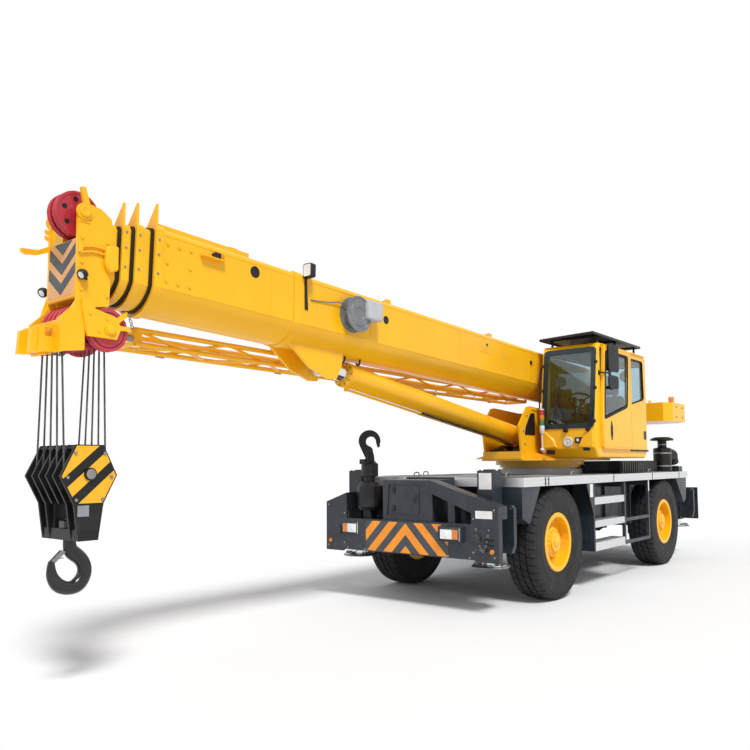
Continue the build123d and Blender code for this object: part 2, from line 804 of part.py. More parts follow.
cab_side_outline = [
    # X, Z round the cab's side: floor front, knee, windscreen foot, brow, roof, rear
    (600, cab_floor), (690, 1830), (700, 2150), (560, cab_roof - 60), (500, cab_roof), (cab_rear + 60, cab_roof),
    (cab_rear, cab_roof - 70), (cab_rear, 1810), (cab_rear + 120, cab_floor),
]
door_x0 = -545.0
door_x1 = 500.0
door_z0 = 1860.0
door_z1 = 3235.0


def inset(outline, d):
    """Move an outline inwards by d all round, by way of its face."""
    ring = Polyline(*[(x, 0, z) for x, z in outline], close=True)
    return offset(make_face(ring), -d)


# X, Z of the windows, from the lower front corner round
rear_side_window = [(-620, 2490), (-620, 3200), (-1180, 3200), (-1205, 2600)]
right_window = [(500, 2300), (440, 3200), (-1150, 3200), (-1180, 2500)]
door_window = [(470, 2235), (-390, 2450), (-455, 3190), (385, 3190)]
# Y, Z of the windscreen and the rear window
windscreen = [(cab_y0 + 70, 2130), (cab_y1 - 70, 2130), (cab_y1 - 70, 3190), (cab_y0 + 70, 3190)]
rear_window = [(cab_y0 + 90, 2480), (cab_y1 - 90, 2480), (cab_y1 - 90, 3150), (cab_y0 + 90, 3150)]
corner_r = 60.0


def cab_shell():
    """Cab body with rounded edges, hollowed to one wall thickness, its windows and doorway cut."""
    shape = window_xz(cab_side_outline, 55, cab_y0, cab_y1)
    shape = fillet(shape.faces().sort_by(Axis.Y)[-1].edges(), 34)
    hollow = extrude(inset(cab_side_outline, cab_wall), amount=cab_y1 - cab_y0 - 2 * cab_wall, dir=(0, 1, 0))
    shape -= Pos(0, cab_y0 + cab_wall, 0) * hollow
    y_out = cab_y1 - cab_wall - 1
    shape -= window_yz(windscreen, corner_r, 480, 760)
    shape -= window_yz(rear_window, corner_r, cab_rear - 10, cab_rear + 80)
    shape -= window_xz(rear_side_window, corner_r, y_out, cab_y1 + 1)
    shape -= box(door_x0, door_x1, y_out, cab_y1 + 1, door_z0, door_z1)
    shape -= window_xz(right_window, corner_r, cab_y0 - 1, cab_y0 + cab_wall + 1)
    # brackets to the turntable's side plate
    for x in (-1000, 150):
        shape += box(x, x + 160, plate_y, cab_y0 + 1, 1720, 1860)
    return shape


put("cab_shell", cab_shell())


def cab_glass():
    """Panes set in the middle of the walls they close."""
    t = 6.0
    sheet = [(668, 2130), (674, 2130), (556, 3190), (550, 3190)]
    wind = plate_xz(sheet, cab_y0, cab_y1) & window_yz(windscreen, corner_r, 480, 760, seat_gap)
    rear = window_yz(rear_window, corner_r, cab_rear + 20, cab_rear + 20 + t, seat_gap)
    side_l = window_xz(rear_side_window, corner_r, cab_y1 - 26, cab_y1 - 26 + t, seat_gap)
    side_r = window_xz(right_window, corner_r, cab_y0 + 20, cab_y0 + 20 + t, seat_gap)
    return wind + rear + side_l + side_r


put("cab_glass", cab_glass())

door_outline = [
    # X, Z of the sliding door's edge
    (door_x1 + 40, 2210), (door_x1 + 20, 1830), (-560, 1830), (-570, 3265), (430, 3265),
]


def cab_door():
    """Sliding door, its handle sunk in a tall recess."""
    y0 = cab_y1 + seat_gap
    shape = window_xz(door_outline, 40, y0, y0 + door_t)
    shape -= window_xz(door_window, corner_r, y0 - 1, y0 + door_t + 1)
    recess = [(205, 1955), (185, 2080), (205, 2205), (250, 2205), (270, 2080), (250, 1955)]
    shape -= window_xz(recess, 12, y0 + door_t - 16, y0 + door_t + 1)
    shape += box(212, 240, y0 + door_t - 17, y0 + door_t - 4, 1990, 2170)
    return shape


put("cab_door", cab_door())


def door_glass():
    y0 = cab_y1 + seat_gap + door_t / 2 - 3
    return window_xz(door_window, corner_r, y0, y0 + 6, seat_gap)


put("door_glass", door_glass())


def cab_seat():
    """Operator's seat on its pedestal and the dash with its column."""
    floor = cab_floor + cab_wall
    y = (cab_y0 + cab_y1) / 2
    base = box(-760, -420, y - 190, y + 190, floor, floor + 320)
    cushion = box(-800, -300, y - 240, y + 240, floor + 320, floor + 440)
    back = plate_xz([(-800, floor + 440), (-680, floor + 440), (-800, floor + 1080), (-900, floor + 1080)],
                    y - 230, y + 230)
    dash = plate_xz([(330, floor), (560, floor), (590, floor + 380), (400, floor + 520), (330, floor + 420)],
                    y - 300, y + 300)
    return base + cushion + back + dash


put("cab_seat", cab_seat())


def roof_shade():
    """Thin sun shade standing on posts over the cab's roof, its front raked forward on the left."""
    z0 = cab_roof + 110
    y0, y1 = plate_y + 20, cab_y1 + 10
    shape = plate_xy([(-1090, y0), (560, y0), (720, y1), (-1090, y1)], z0, z0 + 16)
    lip = 14.0
    shape += box(-1090, 560, y0, y0 + lip, z0 - 22, z0 + 1) + box(-1090, 720 - lip, y1 - lip, y1, z0 - 22, z0 + 1)
    for x in (-1040, -280, 400):
        for y in (cab_y0 + 60, cab_y1 - 90):
            shape += box(x, x + 26, y, y + 26, cab_roof, z0 + 1)
    return shape


put("roof_shade", roof_shade())


def mirror_and_beacon():
    """Two cab mirrors on their arm, folded along the door, and the beacon on the counterweight."""
    z = 2870.0
    y0 = cab_y1 + seat_gap + door_t + move_gap
    y = (y0 + deck_half) / 2
    shape = box(500, 562, cab_y1, cab_y1 + 12, z - 35, z + 35)
    shape += rod((531, cab_y1 + 11, z), (531, y, z), 12) + rod((540, y, z), (330, y, z), 12)
    shape += window_xz([(-20, 2912), (350, 2912), (350, 3300), (-20, 3300)], 45, y0, deck_half)
    shape += window_xz([(0, 2670), (340, 2670), (340, 2858), (0, 2858)], 40, y0, deck_half)
    shape += box(270, 340, y0 + 4, deck_half - 4, 2857, 2913)
    beacon_x, beacon_y = -2800.0, 1110.0
    shape += turned_z([(0, 0), (62, 0), (62, 18), (48, 24), (48, 110), (30, 132), (0, 132)],
                      beacon_x, beacon_y, 2640, 16)
    return shape


put("mirror_and_beacon", mirror_and_beacon())


# Boom, drawn in its own frame with the foot pin at the origin and +X along the boom
boom_place = Pos(pivot_x, 0, pivot_z) * Rot(0, -boom_deg, 0)


def put_boom(name, shape):
    put(name, boom_place * shape)


def section_face(x, k, grow=0.0):
    """Outline of boom section k at station x: flat top, straight sides, rounded underside."""
    d = k * section_step - grow
    half = base_half - d
    up = base_up - d
    low = base_low
    deep = belly - d
    r = 45.0
    top = Line((x, -half + r, up), (x, half - r, up))
    bulge = r * sin(radians(45))
    c1 = ThreePointArc((x, half - r, up), (x, half - r + bulge, up - r + bulge), (x, half, up - r))
    s1 = Line((x, half, up - r), (x, half, low))
    under = ThreePointArc((x, half, low), (x, 0, low - deep), (x, -half, low))
    s2 = Line((x, -half, low), (x, -half, up - r))
    c2 = ThreePointArc((x, -half, up - r), (x, -half + r - bulge, up - r + bulge), (x, -half + r, up))
    return make_face(top + c1 + s1 + under + s2 + c2)


def tube(x0, x1, k, wall=boom_wall):
    outer = extrude(section_face(x0, k), amount=x1 - x0, dir=(1, 0, 0))
    inner = extrude(section_face(x0 - 1, k, -wall), amount=x1 - x0 + 2, dir=(1, 0, 0))
    return outer - inner


def slide_pads(x0, x1, k, on_outer):
    """Ring of wear pads between section k and the one inside it, carried by one and just clear of the other."""
    carried = 1.0
    outer = -boom_wall + (carried if on_outer else -seat_gap)
    inner = -section_step + (seat_gap if on_outer else -carried)
    shape = extrude(section_face(x0, k, outer), amount=x1 - x0, dir=(1, 0, 0))
    return shape - extrude(section_face(x0 - 1, k, inner), amount=x1 - x0 + 2, dir=(1, 0, 0))


def collar(x0, x1, k, proud, horn=0.0):
    """Reinforcing band round the mouth of section k, with a pointed rope guide over each top corner."""
    outer = extrude(section_face(x0, k, proud), amount=x1 - x0, dir=(1, 0, 0))
    inner = extrude(section_face(x0 - 1, k, -boom_wall), amount=x1 - x0 + 2, dir=(1, 0, 0))
    shape = outer - inner
    if horn:
        edge = base_half - k * section_step + proud
        up = base_up - k * section_step + proud
        point = [(edge - 135, up - 2), (edge - 20, up + horn), (edge - 10, up - 60), (edge - 60, up - 2)]
        for s in (-1, 1):
            guide = plate_yz([(s * y, z) for y, z in point], x1 - 22, x1)
            shape += guide - inner
    return shape


sections = [
    # name, k, tail end, mouth, collar length, proud
    ("boom_section_2", 1, 100.0, base_length + 150, 60.0, 12.0),
    ("boom_section_3", 2, 200.0, base_length + 250, 60.0, 12.0),
]


def boom_base():
    shape = tube(tail, base_length, 0)
    shape += collar(base_length - 70, base_length, 0, 16, 165)
    # rope cover along the top behind the mouth
    shape += box(base_length - 1010, base_length - 71, 60, 190, base_up - 4, base_up + 55)
    shape += slide_pads(base_length - pad_length - 10, base_length - 10, 0, True)
    band_x = to_boom(5380, 3000)[0]
    shape += collar(band_x - 45, band_x + 45, 0, 10)
    # foot bosses
    for s in (-1, 1):
        shape += ring_y(0, 0, 130, s * (base_half - boom_wall), s * (base_half + move_gap - seat_gap))
    shape -= ring_y(0, 0, 60 + seat_gap, -base_half - 20, base_half + 20)
    # cheeks for the lift cylinder's eye
    ex, ez = to_boom(luff_eye_x, luff_eye_z)
    cheek = [(ex + 760, base_low - 60), (ex + 330, ez - 60), (ex + 60, ez - 140), (ex - 60, ez - 130), (ex - 130, ez),
             (ex - 170, base_low - 60)]
    hollow = extrude(section_face(tail - 1, 0, -boom_wall), amount=base_length - tail + 2, dir=(1, 0, 0))
    for s in (-1, 1):
        shape += plate_xz(cheek, s * 120, s * 150) - hollow
    return shape


put_boom("boom_base", boom_base())

for name, k, x0, x1, length, proud in sections:
    shape = tube(x0, x1, k) + collar(x1 - length, x1, k, proud, 160)
    shape += slide_pads(x1 - pad_length - 10, x1 - 10, k, True) + slide_pads(x0, x0 + pad_length, k - 1, False)
    put_boom(name, shape)


def on_head(points):
    """Level and plumb distances from the head's lower front corner, in the boom's frame."""
    a = radians(boom_deg)
    return [(head_x + dx * cos(a) + dz * sin(a), head_z - dx * sin(a) + dz * cos(a)) for dx, dz in points]


guide_r = 162.0
sheave_r = 172.0
lower_pitch = 65.0
head_in = base_half - 3 * section_step - 4      # inner face of the head's side plates
head_t = 26.0
bracket_t = 24.0
bracket_y = head_in + head_t - 1       # brackets lap the side plates
cheek_in = 157.0        # inner cheeks beside the row of lower sheaves
cheek_t = 8.0
upper_x, upper_z = on_head([(-62, 692)])[0]
guide_x, guide_z = on_head([(-268, -149)])[0]
lower_x, lower_z = head_x - falls_back, head_z - falls_down


def head_plates():
    """Side plates, front plate and floor of the head."""
    side = [(-270, 28), (-290, 563), (-282, 687), (-200, 745), (-70, 765), (-17, 700), (-17, 32), (-52, -17)]
    strap = [(-125, 700), (-70, 700), (-36, 872), (-72, 880)]
    y0, y1 = head_in, head_in + head_t
    shape = Part()
    for s in (-1, 1):
        shape += plate_xz(on_head(side), s * y0, s * y1) + plate_xz(on_head(strap), s * y0, s * y1)
        shape += ring_y(upper_x, upper_z, 62, s * (y1 - 1), s * (y1 + 14))
    front_x = head_x - 30
    shape += box(front_x, front_x + 22, -y0 - 2, y0 + 2, head_z + 68, head_z + 500)
    shape += box(front_x, front_x + 22, -y0 - 2, -20, head_z + 499, head_z + 620)
    floor = [(-268, 58), (-19, 58), (-19, 76), (-268, 76)]
    return shape + plate_xz(on_head(floor), -y0 - 2, y0 + 2)


def head_brackets():
    """Inner cheeks of the lower sheaves, outer brackets of the guide sheaves with their rope prongs."""
    inner = [(-60, 60), (-270, 60), (-310, -110), (-300, -190), (-240, -195), (-85, -185), (-70, -140)]
    outer = [(-52, 55), (-52, -17), (-95, -215), (-326, -218), (-360, -130), (-320, -50), (-150, -10), (-150, 55)]
    prongs = [
        [(-330, -100), (-300, -75), (-402, 4), (-425, -22)],
        [(-340, -145), (-340, -110), (-463, -106), (-463, -138)],
    ]
    y0 = bracket_y
    shape = Part()
    for s in (-1, 1):
        shape += plate_xz(on_head(inner), s * cheek_in, s * (cheek_in + cheek_t))
        for outline in [outer] + prongs:
            shape += plate_xz(on_head(outline), s * y0, s * (y0 + bracket_t))
        shape += ring_y(guide_x, guide_z, 46, s * (y0 + bracket_t - 1), s * (y0 + bracket_t + 12))
    return shape


def head_nose():
    """Nose under the head: two cheeks, a cross plate, a narrow box with square holes and a fork."""
    cheek = [(-85, 34), (-17, 34), (20, -25), (113, -114), (85, -343), (-85, -318)]
    cross = [(70, -345), (92, -345), (105, -120), (83, -120)]
    narrow = [(88, -340), (205, -352), (192, -165), (95, -135)]
    hole = [(98, -235), (158, -235), (158, -175), (98, -175)]
    prong = [(190, -352), (nose_reach, -356), (nose_reach - 12, -190), (188, -170)]
    y0, y1 = head_in, head_in + head_t
    shape = plate_xz(on_head(cross), -y1, y1)
    narrow_y = 120.0
    for s in (-1, 1):
        shape += plate_xz(on_head(cheek), s * y0, s * y1)
        wall = plate_xz(on_head(narrow), s * (narrow_y - 16), s * narrow_y)
        shape += wall - plate_xz(on_head(hole), s * (narrow_y - 17), s * (narrow_y + 1))
        shape += plate_xz(on_head(prong), s * 66, s * 104)
    shape += plate_xz(on_head([(180, -351), (200, -352), (198, -166), (178, -166)]), -narrow_y, narrow_y)
    return shape


def jib_fork():
    """Arm, lugs and stay on the right of the head, where the fly jib pins on."""
    y = bracket_y
    plates = [
        [(-82, 490), (60, 425), (150, 412), (186, 430), (184, 452), (60, 462), (-82, 540)],
        [(-100, 588), (5, 634), (2, 606), (-95, 560)],
        [(-100, 545), (6, 588), (4, 562), (-95, 515)],
        [(-98, 250), (-66, 255), (40, -80), (10, -92)],
    ]
    shape = Part()
    for outline in plates:
        shape += plate_xz(on_head(outline), -y, -y - 20)
    return shape


def boom_head():
    """Innermost section with the head, its brackets and nose."""
    k = 3
    x_mouth = base_length + 350
    shape = tube(300, x_mouth + 20, k) + collar(x_mouth - 60, x_mouth, k, 12)
    shape += slide_pads(300, 300 + pad_length, k - 1, False)
    return shape + head_plates() + head_brackets() + head_nose() + jib_fork()


put_boom("boom_section_4", boom_head())

lower_places = [(i - (sheave_count - 1) / 2) * lower_pitch for i in range(sheave_count)]
sheaves = [
    # X, Z in the boom's frame, radius, Y places, axle's half length
    (upper_x, upper_z, sheave_r, (30, 106), head_in),
    (lower_x, lower_z, sheave_r, lower_places, cheek_in),
]


def sheave_at(x, y, z, r):
    groove = [(30, -24), (r, -24), (r - groove_depth, 0), (r, 24), (30, 24)]
    return turned_y(groove, x, y, z, 24)


def sheave_rows():
    """Grooved sheaves side by side on their axles, and the two guide sheaves beside them."""
    shape = Part()
    for x, z, r, places, half in sheaves:
        shape += ring_y(x, z, 35, -half, half)
        for y in places:
            shape += sheave_at(x, y, z, r)
    for s in (-1, 1):
        shape += ring_y(guide_x, guide_z, 31, s * (cheek_in + cheek_t), s * bracket_y)
        shape += sheave_at(guide_x, s * (cheek_in + cheek_t + 25), guide_z, guide_r)
    return shape


put_boom("sheaves", sheave_rows())


def lattice_jib():
    """Fly jib stowed level along the right of the boom: four chords laced by diagonals."""
    x0, x1 = 1500.0, base_length - 256.0
    low0, low1 = -384.0, -579.0         # lower chords at the tail and at the front
    deep0, deep1 = 96.0, 120.0
    y0, y1 = -base_half - 78, -base_half - 420
    r = 24.0

    def low(x):
        return low0 + (low1 - low0) * (x - x0) / (x1 - x0)

    def top(x):
        return low(x) + deep0 + (deep1 - deep0) * (x - x0) / (x1 - x0)

    shape = Part()
    for y in (y0, y1):
        for chord in (low, top):
            shape += rod((x0, y, chord(x0)), (x1, y, chord(x1)), r)
    bays = 14
    pitch = (x1 - x0) / bays
    for i in range(bays):
        a = x0 + i * pitch
        b = a + pitch
        p, q = (a, b) if i % 2 else (b, a)
        shape += rod((p, y0, low(p)), (q, y0, top(q)), 14, 6)
        shape += rod((p, y0, low(p)), (q, y1, low(q)), 14, 6)
        shape += rod((p, y1, low(p)), (q, y1, top(q)), 14, 6)
    for x in (x0, x1):
        for chord in (low, top):
            shape += rod((x, y0, chord(x)), (x, y1, chord(x)), r)
        for y in (y0, y1):
            shape += rod((x, y, low(x)), (x, y, top(x)), r)
    # hangers from the boom's side, and the root's pin plates at the front
    for x in (x0 + 900, x1 - 1600):
        shape += box(x, x + 60, y0 - 10, -base_half, top(x) - 20, -170)
    for y in (y0, y1):
        shape += plate_xz([(x1 - 60, low(x1) - 20), (x1 + 90, low(x1) + 10), (x1 + 90, low(x1) + 60),
                           (x1 - 60, top(x1) + 20)], y - 12, y + 12)
    return shape


put_boom("lattice_jib", lattice_jib())


def cable_reel():
    x, z = to_boom(4600, 3160)
    y = base_half
    drum = turned_y([
        (0, 0), (185, 0), (185, 16), (120, 22), (120, 88), (185, 94), (185, 110), (0, 110),
    ], x, y, z)
    return drum + box(x - 330, x - 90, y, y + 150, z - 30, z + 170)


put_boom("cable_reel", cable_reel())


def work_lamp():
    """Flood lamp tipped forward on a bent arm from the boom's side."""
    x = to_boom(5246, 3470)[0]
    y = base_half
    arm = plate_xz([(x - 22, -90), (x + 18, -90), (x + 34, base_up - 30), (x + 6, base_up - 30)], y, y + 12)
    arm += box(x + 6, x + 34, y, y + 60, base_up - 42, base_up - 30)
    lamp = window_yz([(y + 2, base_up - 40), (y + 118, base_up - 40), (y + 118, base_up + 95), (y + 2, base_up + 95)],
                     14, x - 20, x + 62)
    return arm + lamp


put_boom("work_lamp", work_lamp())


# Lift cylinder, drawn along its own line from the foot pin to the eye
lift_deg = degrees(atan2(luff_eye_z - foot_z, luff_eye_x - foot_x))
lift_length = hypot(luff_eye_x - foot_x, luff_eye_z - foot_z)
lift_place = Pos(foot_x, 0, foot_z) * Rot(0, -lift_deg, 0)
barrel_r = 125.0
rod_r = 85.0
eye_half = 120.0 - seat_gap
eye_r = 92.0


def lift_barrel():
    shape = bar((140, 0, 0), (lift_length - 330, 0, 0), barrel_r)
    shape += bar((lift_length - 420, 0, 0), (lift_length - 330, 0, 0), barrel_r + 12)
    shape += ring_y(0, 0, 120, -105 + seat_gap, 105 - seat_gap) + box(0, 160, -90, 90, -100, 100)
    shape -= ring_y(0, 0, 50 + seat_gap, -130, 130)
    shape -= bar((220, 0, 0), (lift_length - 329, 0, 0), rod_r + seat_gap)
    pipe_z = -barrel_r - 24
    shape += rod((250, 0, pipe_z), (lift_length - 380, 0, pipe_z), 14)
    for x in (250, lift_length - 410):
        shape += box(x, x + 30, -20, 20, pipe_z - 18, 10 - barrel_r)
    return shape


def lift_rod():
    shape = bar((240, 0, 0), (lift_length - 60, 0, 0), rod_r)
    shape += ring_y(lift_length, 0, eye_r, -eye_half, eye_half)
    return shape


put("lift_barrel", lift_place * lift_barrel())
put("lift_rod", lift_place * lift_rod())


# Hook block and its rope falls, hanging plumb from the nose

rope_seat = 11.0 - groove_depth
block_pitch = (2 * block_half - 20) / sheave_count


def hoist_ropes():
    """One fall each side of each sheave, from the head's row to the block's."""
    shape = Part()
    for i in range(sheave_count):
        place = i - (sheave_count - 1) / 2
        for s in (-1, 1):
            top = (falls_x + s * (sheave_r + rope_seat), place * lower_pitch, falls_z)
            low = (falls_x + s * (block_sheave_r + rope_seat), place * block_pitch, block_axle_z)
            shape += rod(top, low, rope_r)
    return shape


put("hoist_ropes", hoist_ropes())


def hook_block():
    """Cheek plates between a row of sheaves, drawn in under them to a cross head."""
    top_z = block_axle_z + 210
    waist_z = block_axle_z - 210
    low_z = 1110.0
    x = falls_x
    upper = [(x + 112, waist_z), (x + 215, block_axle_z - 10), (x + 105, top_z), (x - 105, top_z),
             (x - 215, block_axle_z - 10), (x - 112, waist_z)]
    whole = [(x - 75, low_z), (x + 75, low_z)] + upper
    shape = ring_y(x, block_axle_z, 45, -block_half - 20, block_half + 20)
    for i in range(sheave_count + 1):
        y = (i - sheave_count / 2) * block_pitch
        # the hook's nut turns between the two middle plates, which stop short
        shape += plate_xz(whole if abs(y) > block_pitch else upper, y - 9, y + 9)
    for i in range(sheave_count):
        y = (i - (sheave_count - 1) / 2) * block_pitch
        shape += sheave_at(x, y, block_axle_z, block_sheave_r)
    half = block_half - 10
    shape += box(x - 92, x + 92, -half, half, 1380, 1412)
    shape += box(x - 74, x + 74, -half, half, low_z, low_z + 80)
    return shape - ring_z(x, 0, 45 + seat_gap, low_z - 1, low_z + 81)


put("hook_block", hook_block())


def crane_hook():
    """Forged single hook on its shank."""
    z_eye = 880.0
    x = falls_x
    shank = ring_z(x, 0, 45, 1000, 1260) + ring_z(x, 0, 75, 1190 + seat_gap, 1250)
    return shank + hook_plate(x, 0, z_eye, 177, 73, 1010, 45)


put("crane_hook", crane_hook())


for name, shape in nodes.items():
    export_step(shape, f"parts/{name}.step")
print(len(nodes), "nodes, shift", shift)
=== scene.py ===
import json
from math import atan2, cos, hypot, pi, radians, sin

import bmesh
import bpy
from mathutils import Matrix, Vector


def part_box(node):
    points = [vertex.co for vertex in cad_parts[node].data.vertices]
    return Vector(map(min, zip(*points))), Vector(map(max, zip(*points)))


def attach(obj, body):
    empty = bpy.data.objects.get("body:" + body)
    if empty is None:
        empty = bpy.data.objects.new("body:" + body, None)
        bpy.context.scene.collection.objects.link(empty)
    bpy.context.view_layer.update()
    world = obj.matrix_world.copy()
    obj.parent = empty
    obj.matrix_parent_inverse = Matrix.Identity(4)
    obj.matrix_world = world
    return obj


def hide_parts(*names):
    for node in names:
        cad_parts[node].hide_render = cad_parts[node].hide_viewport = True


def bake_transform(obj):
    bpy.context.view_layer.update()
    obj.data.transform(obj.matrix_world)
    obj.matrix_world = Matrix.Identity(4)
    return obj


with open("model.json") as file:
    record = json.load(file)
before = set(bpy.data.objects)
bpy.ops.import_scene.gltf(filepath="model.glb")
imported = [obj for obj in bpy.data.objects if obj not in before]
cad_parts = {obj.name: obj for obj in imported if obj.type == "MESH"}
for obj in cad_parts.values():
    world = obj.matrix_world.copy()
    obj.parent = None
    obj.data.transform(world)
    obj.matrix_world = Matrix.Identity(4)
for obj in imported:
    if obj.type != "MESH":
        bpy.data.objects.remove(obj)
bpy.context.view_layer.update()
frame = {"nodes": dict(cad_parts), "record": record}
nodes = frame["nodes"]


def middle(node):
    low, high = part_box(node)
    return (low + high) / 2


# The slewing axis is where the boom, cab and camera are measured from.
slew_x = middle("slewing_ring").x


# Camera and light

def set_camera():
    """The photograph's standpoint: front left corner of the crane, at eye level, looking slightly up."""
    eye = Vector((slew_x + 10.191, 5.206, 1.632))
    heading = radians(218.366)
    pitch = radians(3.955)
    roll = radians(-0.446)
    data = bpy.data.cameras.new("camera")
    data.sensor_width = 36.0
    data.lens = 35.32
    data.shift_x = -0.0223
    data.shift_y = 0.0515
    data.clip_end = 500
    camera = bpy.data.objects.new("camera", data)
    turn = Matrix.Rotation(heading - pi / 2, 4, "Z") @ Matrix.Rotation(pi / 2 + pitch, 4, "X")
    camera.matrix_world = Matrix.Translation(eye) @ turn @ Matrix.Rotation(roll, 4, "Z")
    bpy.context.scene.collection.objects.link(camera)
    bpy.context.scene.camera = camera


def set_light():
    """Soft key from the crane's left, front and above, pale surround, white background."""
    surround = bpy.data.worlds.new("surround")
    bpy.context.scene.world = surround
    surround.use_nodes = True
    tree = surround.node_tree
    tree.nodes.clear()
    out = tree.nodes.new("ShaderNodeOutputWorld")
    ambient = tree.nodes.new("ShaderNodeBackground")
    ambient.inputs["Color"].default_value = (0.93, 0.96, 1.0, 1)
    ambient.inputs["Strength"].default_value = 0.50
    backdrop = tree.nodes.new("ShaderNodeBackground")
    backdrop.inputs["Color"].default_value = (1, 1, 1, 1)
    backdrop.inputs["Strength"].default_value = 1.0
    path = tree.nodes.new("ShaderNodeLightPath")
    seen = tree.nodes.new("ShaderNodeMath")
    seen.operation = "MAXIMUM"
    seen_too = tree.nodes.new("ShaderNodeMath")
    seen_too.operation = "MAXIMUM"
    mix = tree.nodes.new("ShaderNodeMixShader")
    link = tree.links.new
    link(path.outputs["Is Camera Ray"], seen.inputs[0])
    link(path.outputs["Is Glossy Ray"], seen.inputs[1])
    link(seen.outputs[0], seen_too.inputs[0])
    link(path.outputs["Is Transmission Ray"], seen_too.inputs[1])
    link(seen_too.outputs[0], mix.inputs["Fac"])
    link(ambient.outputs[0], mix.inputs[1])
    link(backdrop.outputs[0], mix.inputs[2])
    link(mix.outputs[0], out.inputs["Surface"])
    lamps = [
        # name, towards the light, strength, softness in degrees
        ("key", (0.45, 0.70, 1.05), 2.8, 14),
        ("fill", (0.9, -0.3, 0.5), 0.4, 40),
    ]
    for name, toward, strength, soft in lamps:
        data = bpy.data.lights.new(name, "SUN")
        data.energy = strength
        data.angle = radians(soft)
        lamp = bpy.data.objects.new(name, data)
        lamp.rotation_euler = Vector(toward).to_track_quat("Z", "Y").to_euler()
        bpy.context.scene.collection.objects.link(lamp)


def set_floor():
    bpy.ops.mesh.primitive_circle_add(vertices=96, radius=90, fill_type="NGON", location=(0, 0, 0))
    floor = bpy.context.object
    floor.name = "floor"
    mat, tree, shader = new_material("floor_paint")
    shader.inputs["Roughness"].default_value = 0.9
    tint(tree, shader, [(0.0, (0.80, 0.80, 0.80)), (1.0, (0.84, 0.84, 0.84))], scale=0.4)
    floor.data.materials.append(mat)


# Materials: every finish reads object coordinates

def new_material(name):
    mat = bpy.data.materials.new(name)
    mat.use_nodes = True
    tree = mat.node_tree
    return mat, tree, tree.nodes["Principled BSDF"]


def coordinates(tree, scale=(1, 1, 1)):
    where = tree.nodes.new("ShaderNodeTexCoord")
    place = tree.nodes.new("ShaderNodeMapping")
    place.inputs["Scale"].default_value = scale
    tree.links.new(where.outputs["Object"], place.inputs["Vector"])
    return place.outputs["Vector"]


def noise(tree, scale, detail=4.0, stretch=(1, 1, 1)):
    grain = tree.nodes.new("ShaderNodeTexNoise")
    grain.inputs["Scale"].default_value = scale
    grain.inputs["Detail"].default_value = detail
    tree.links.new(coordinates(tree, stretch), grain.inputs["Vector"])
    return grain.outputs["Fac"]


def ramp(tree, value, stops):
    """Colours along a 0 to 1 value; stops are place and colour."""
    band = tree.nodes.new("ShaderNodeValToRGB")
    row = band.color_ramp.elements
    while len(row) < len(stops):
        row.new(0.5)
    for element, (place, colour) in zip(row, stops):
        element.position = place
        element.color = (*colour, 1)
    tree.links.new(value, band.inputs["Fac"])
    return band.outputs["Color"]


def tint(tree, shader, stops, scale):
    """Base colour that wanders between the stops."""
    tree.links.new(ramp(tree, noise(tree, scale), stops), shader.inputs["Base Color"])


def mottled_gloss(tree, shader, value, low, high, dull, duller):
    """Roughness that wanders from dull at low to duller at high."""
    stops = [(low, (dull,) * 3), (high, (duller,) * 3)]
    tree.links.new(ramp(tree, value, stops), shader.inputs["Roughness"])


def bump(tree, shader, value, strength, distance):
    node = tree.nodes.new("ShaderNodeBump")
    node.inputs["Strength"].default_value = strength
    node.inputs["Distance"].default_value = distance
    tree.links.new(value, node.inputs["Height"])
    tree.links.new(node.outputs["Normal"], shader.inputs["Normal"])


def blend_colours(tree, factor, a, b):
    mix = tree.nodes.new("ShaderNodeMix")
    mix.data_type = "RGBA"
    for socket, value in ((mix.inputs["Factor"], factor), (mix.inputs["A"], a), (mix.inputs["B"], b)):
        if isinstance(value, (float, int)):
            socket.default_value = value
        elif isinstance(value, tuple):
            socket.default_value = (*value, 1)
        else:
            tree.links.new(value, socket)
    return mix.outputs["Result"]


def low_down(tree, z0, z1):
    """1 at and under z0, falling to 0 at z1 above the ground, for dust thrown up by the wheels."""
    split = tree.nodes.new("ShaderNodeSeparateXYZ")
    tree.links.new(coordinates(tree), split.inputs[0])
    fade = tree.nodes.new("ShaderNodeMapRange")
    fade.inputs["From Min"].default_value = z1
    fade.inputs["From Max"].default_value = z0
    tree.links.new(split.outputs["Z"], fade.inputs["Value"])
    return fade.outputs["Result"]


def multiply(tree, a, b):
    node = tree.nodes.new("ShaderNodeMath")
    node.operation = "MULTIPLY"
    for socket, value in zip(node.inputs, (a, b)):
        if isinstance(value, float):
            socket.default_value = value
        else:
            tree.links.new(value, socket)
    return node.outputs[0]


dust = (0.36, 0.31, 0.25)


def enamel(name, light, dark, rough=0.32, coat=0.35, dusty=0.10, shine=0.5):
    """Sprayed enamel: slight fade in patches, orange peel, a dry lower edge where dust settles."""
    mat, tree, shader = new_material(name)
    faded = ramp(tree, noise(tree, 1.3, 5), [(0.35, dark), (0.65, light)])
    patches = ramp(tree, noise(tree, 9, 8), [(0.45, (0, 0, 0)), (0.8, (1, 1, 1))])
    grime = multiply(tree, patches, low_down(tree, 0.4, 2.4))
    base = blend_colours(tree, multiply(tree, grime, dusty * 4), faded, dust)
    tree.links.new(base, shader.inputs["Base Color"])
    mottled_gloss(tree, shader, noise(tree, 6, 6), 0.3, 0.75, rough * 0.85, rough * 1.25)
    shader.inputs["Coat Weight"].default_value = coat
    shader.inputs["Coat Roughness"].default_value = 0.12
    shader.inputs["Specular IOR Level"].default_value = shine
    bump(tree, shader, noise(tree, 260, 2), 0.06, 0.002)
    return mat


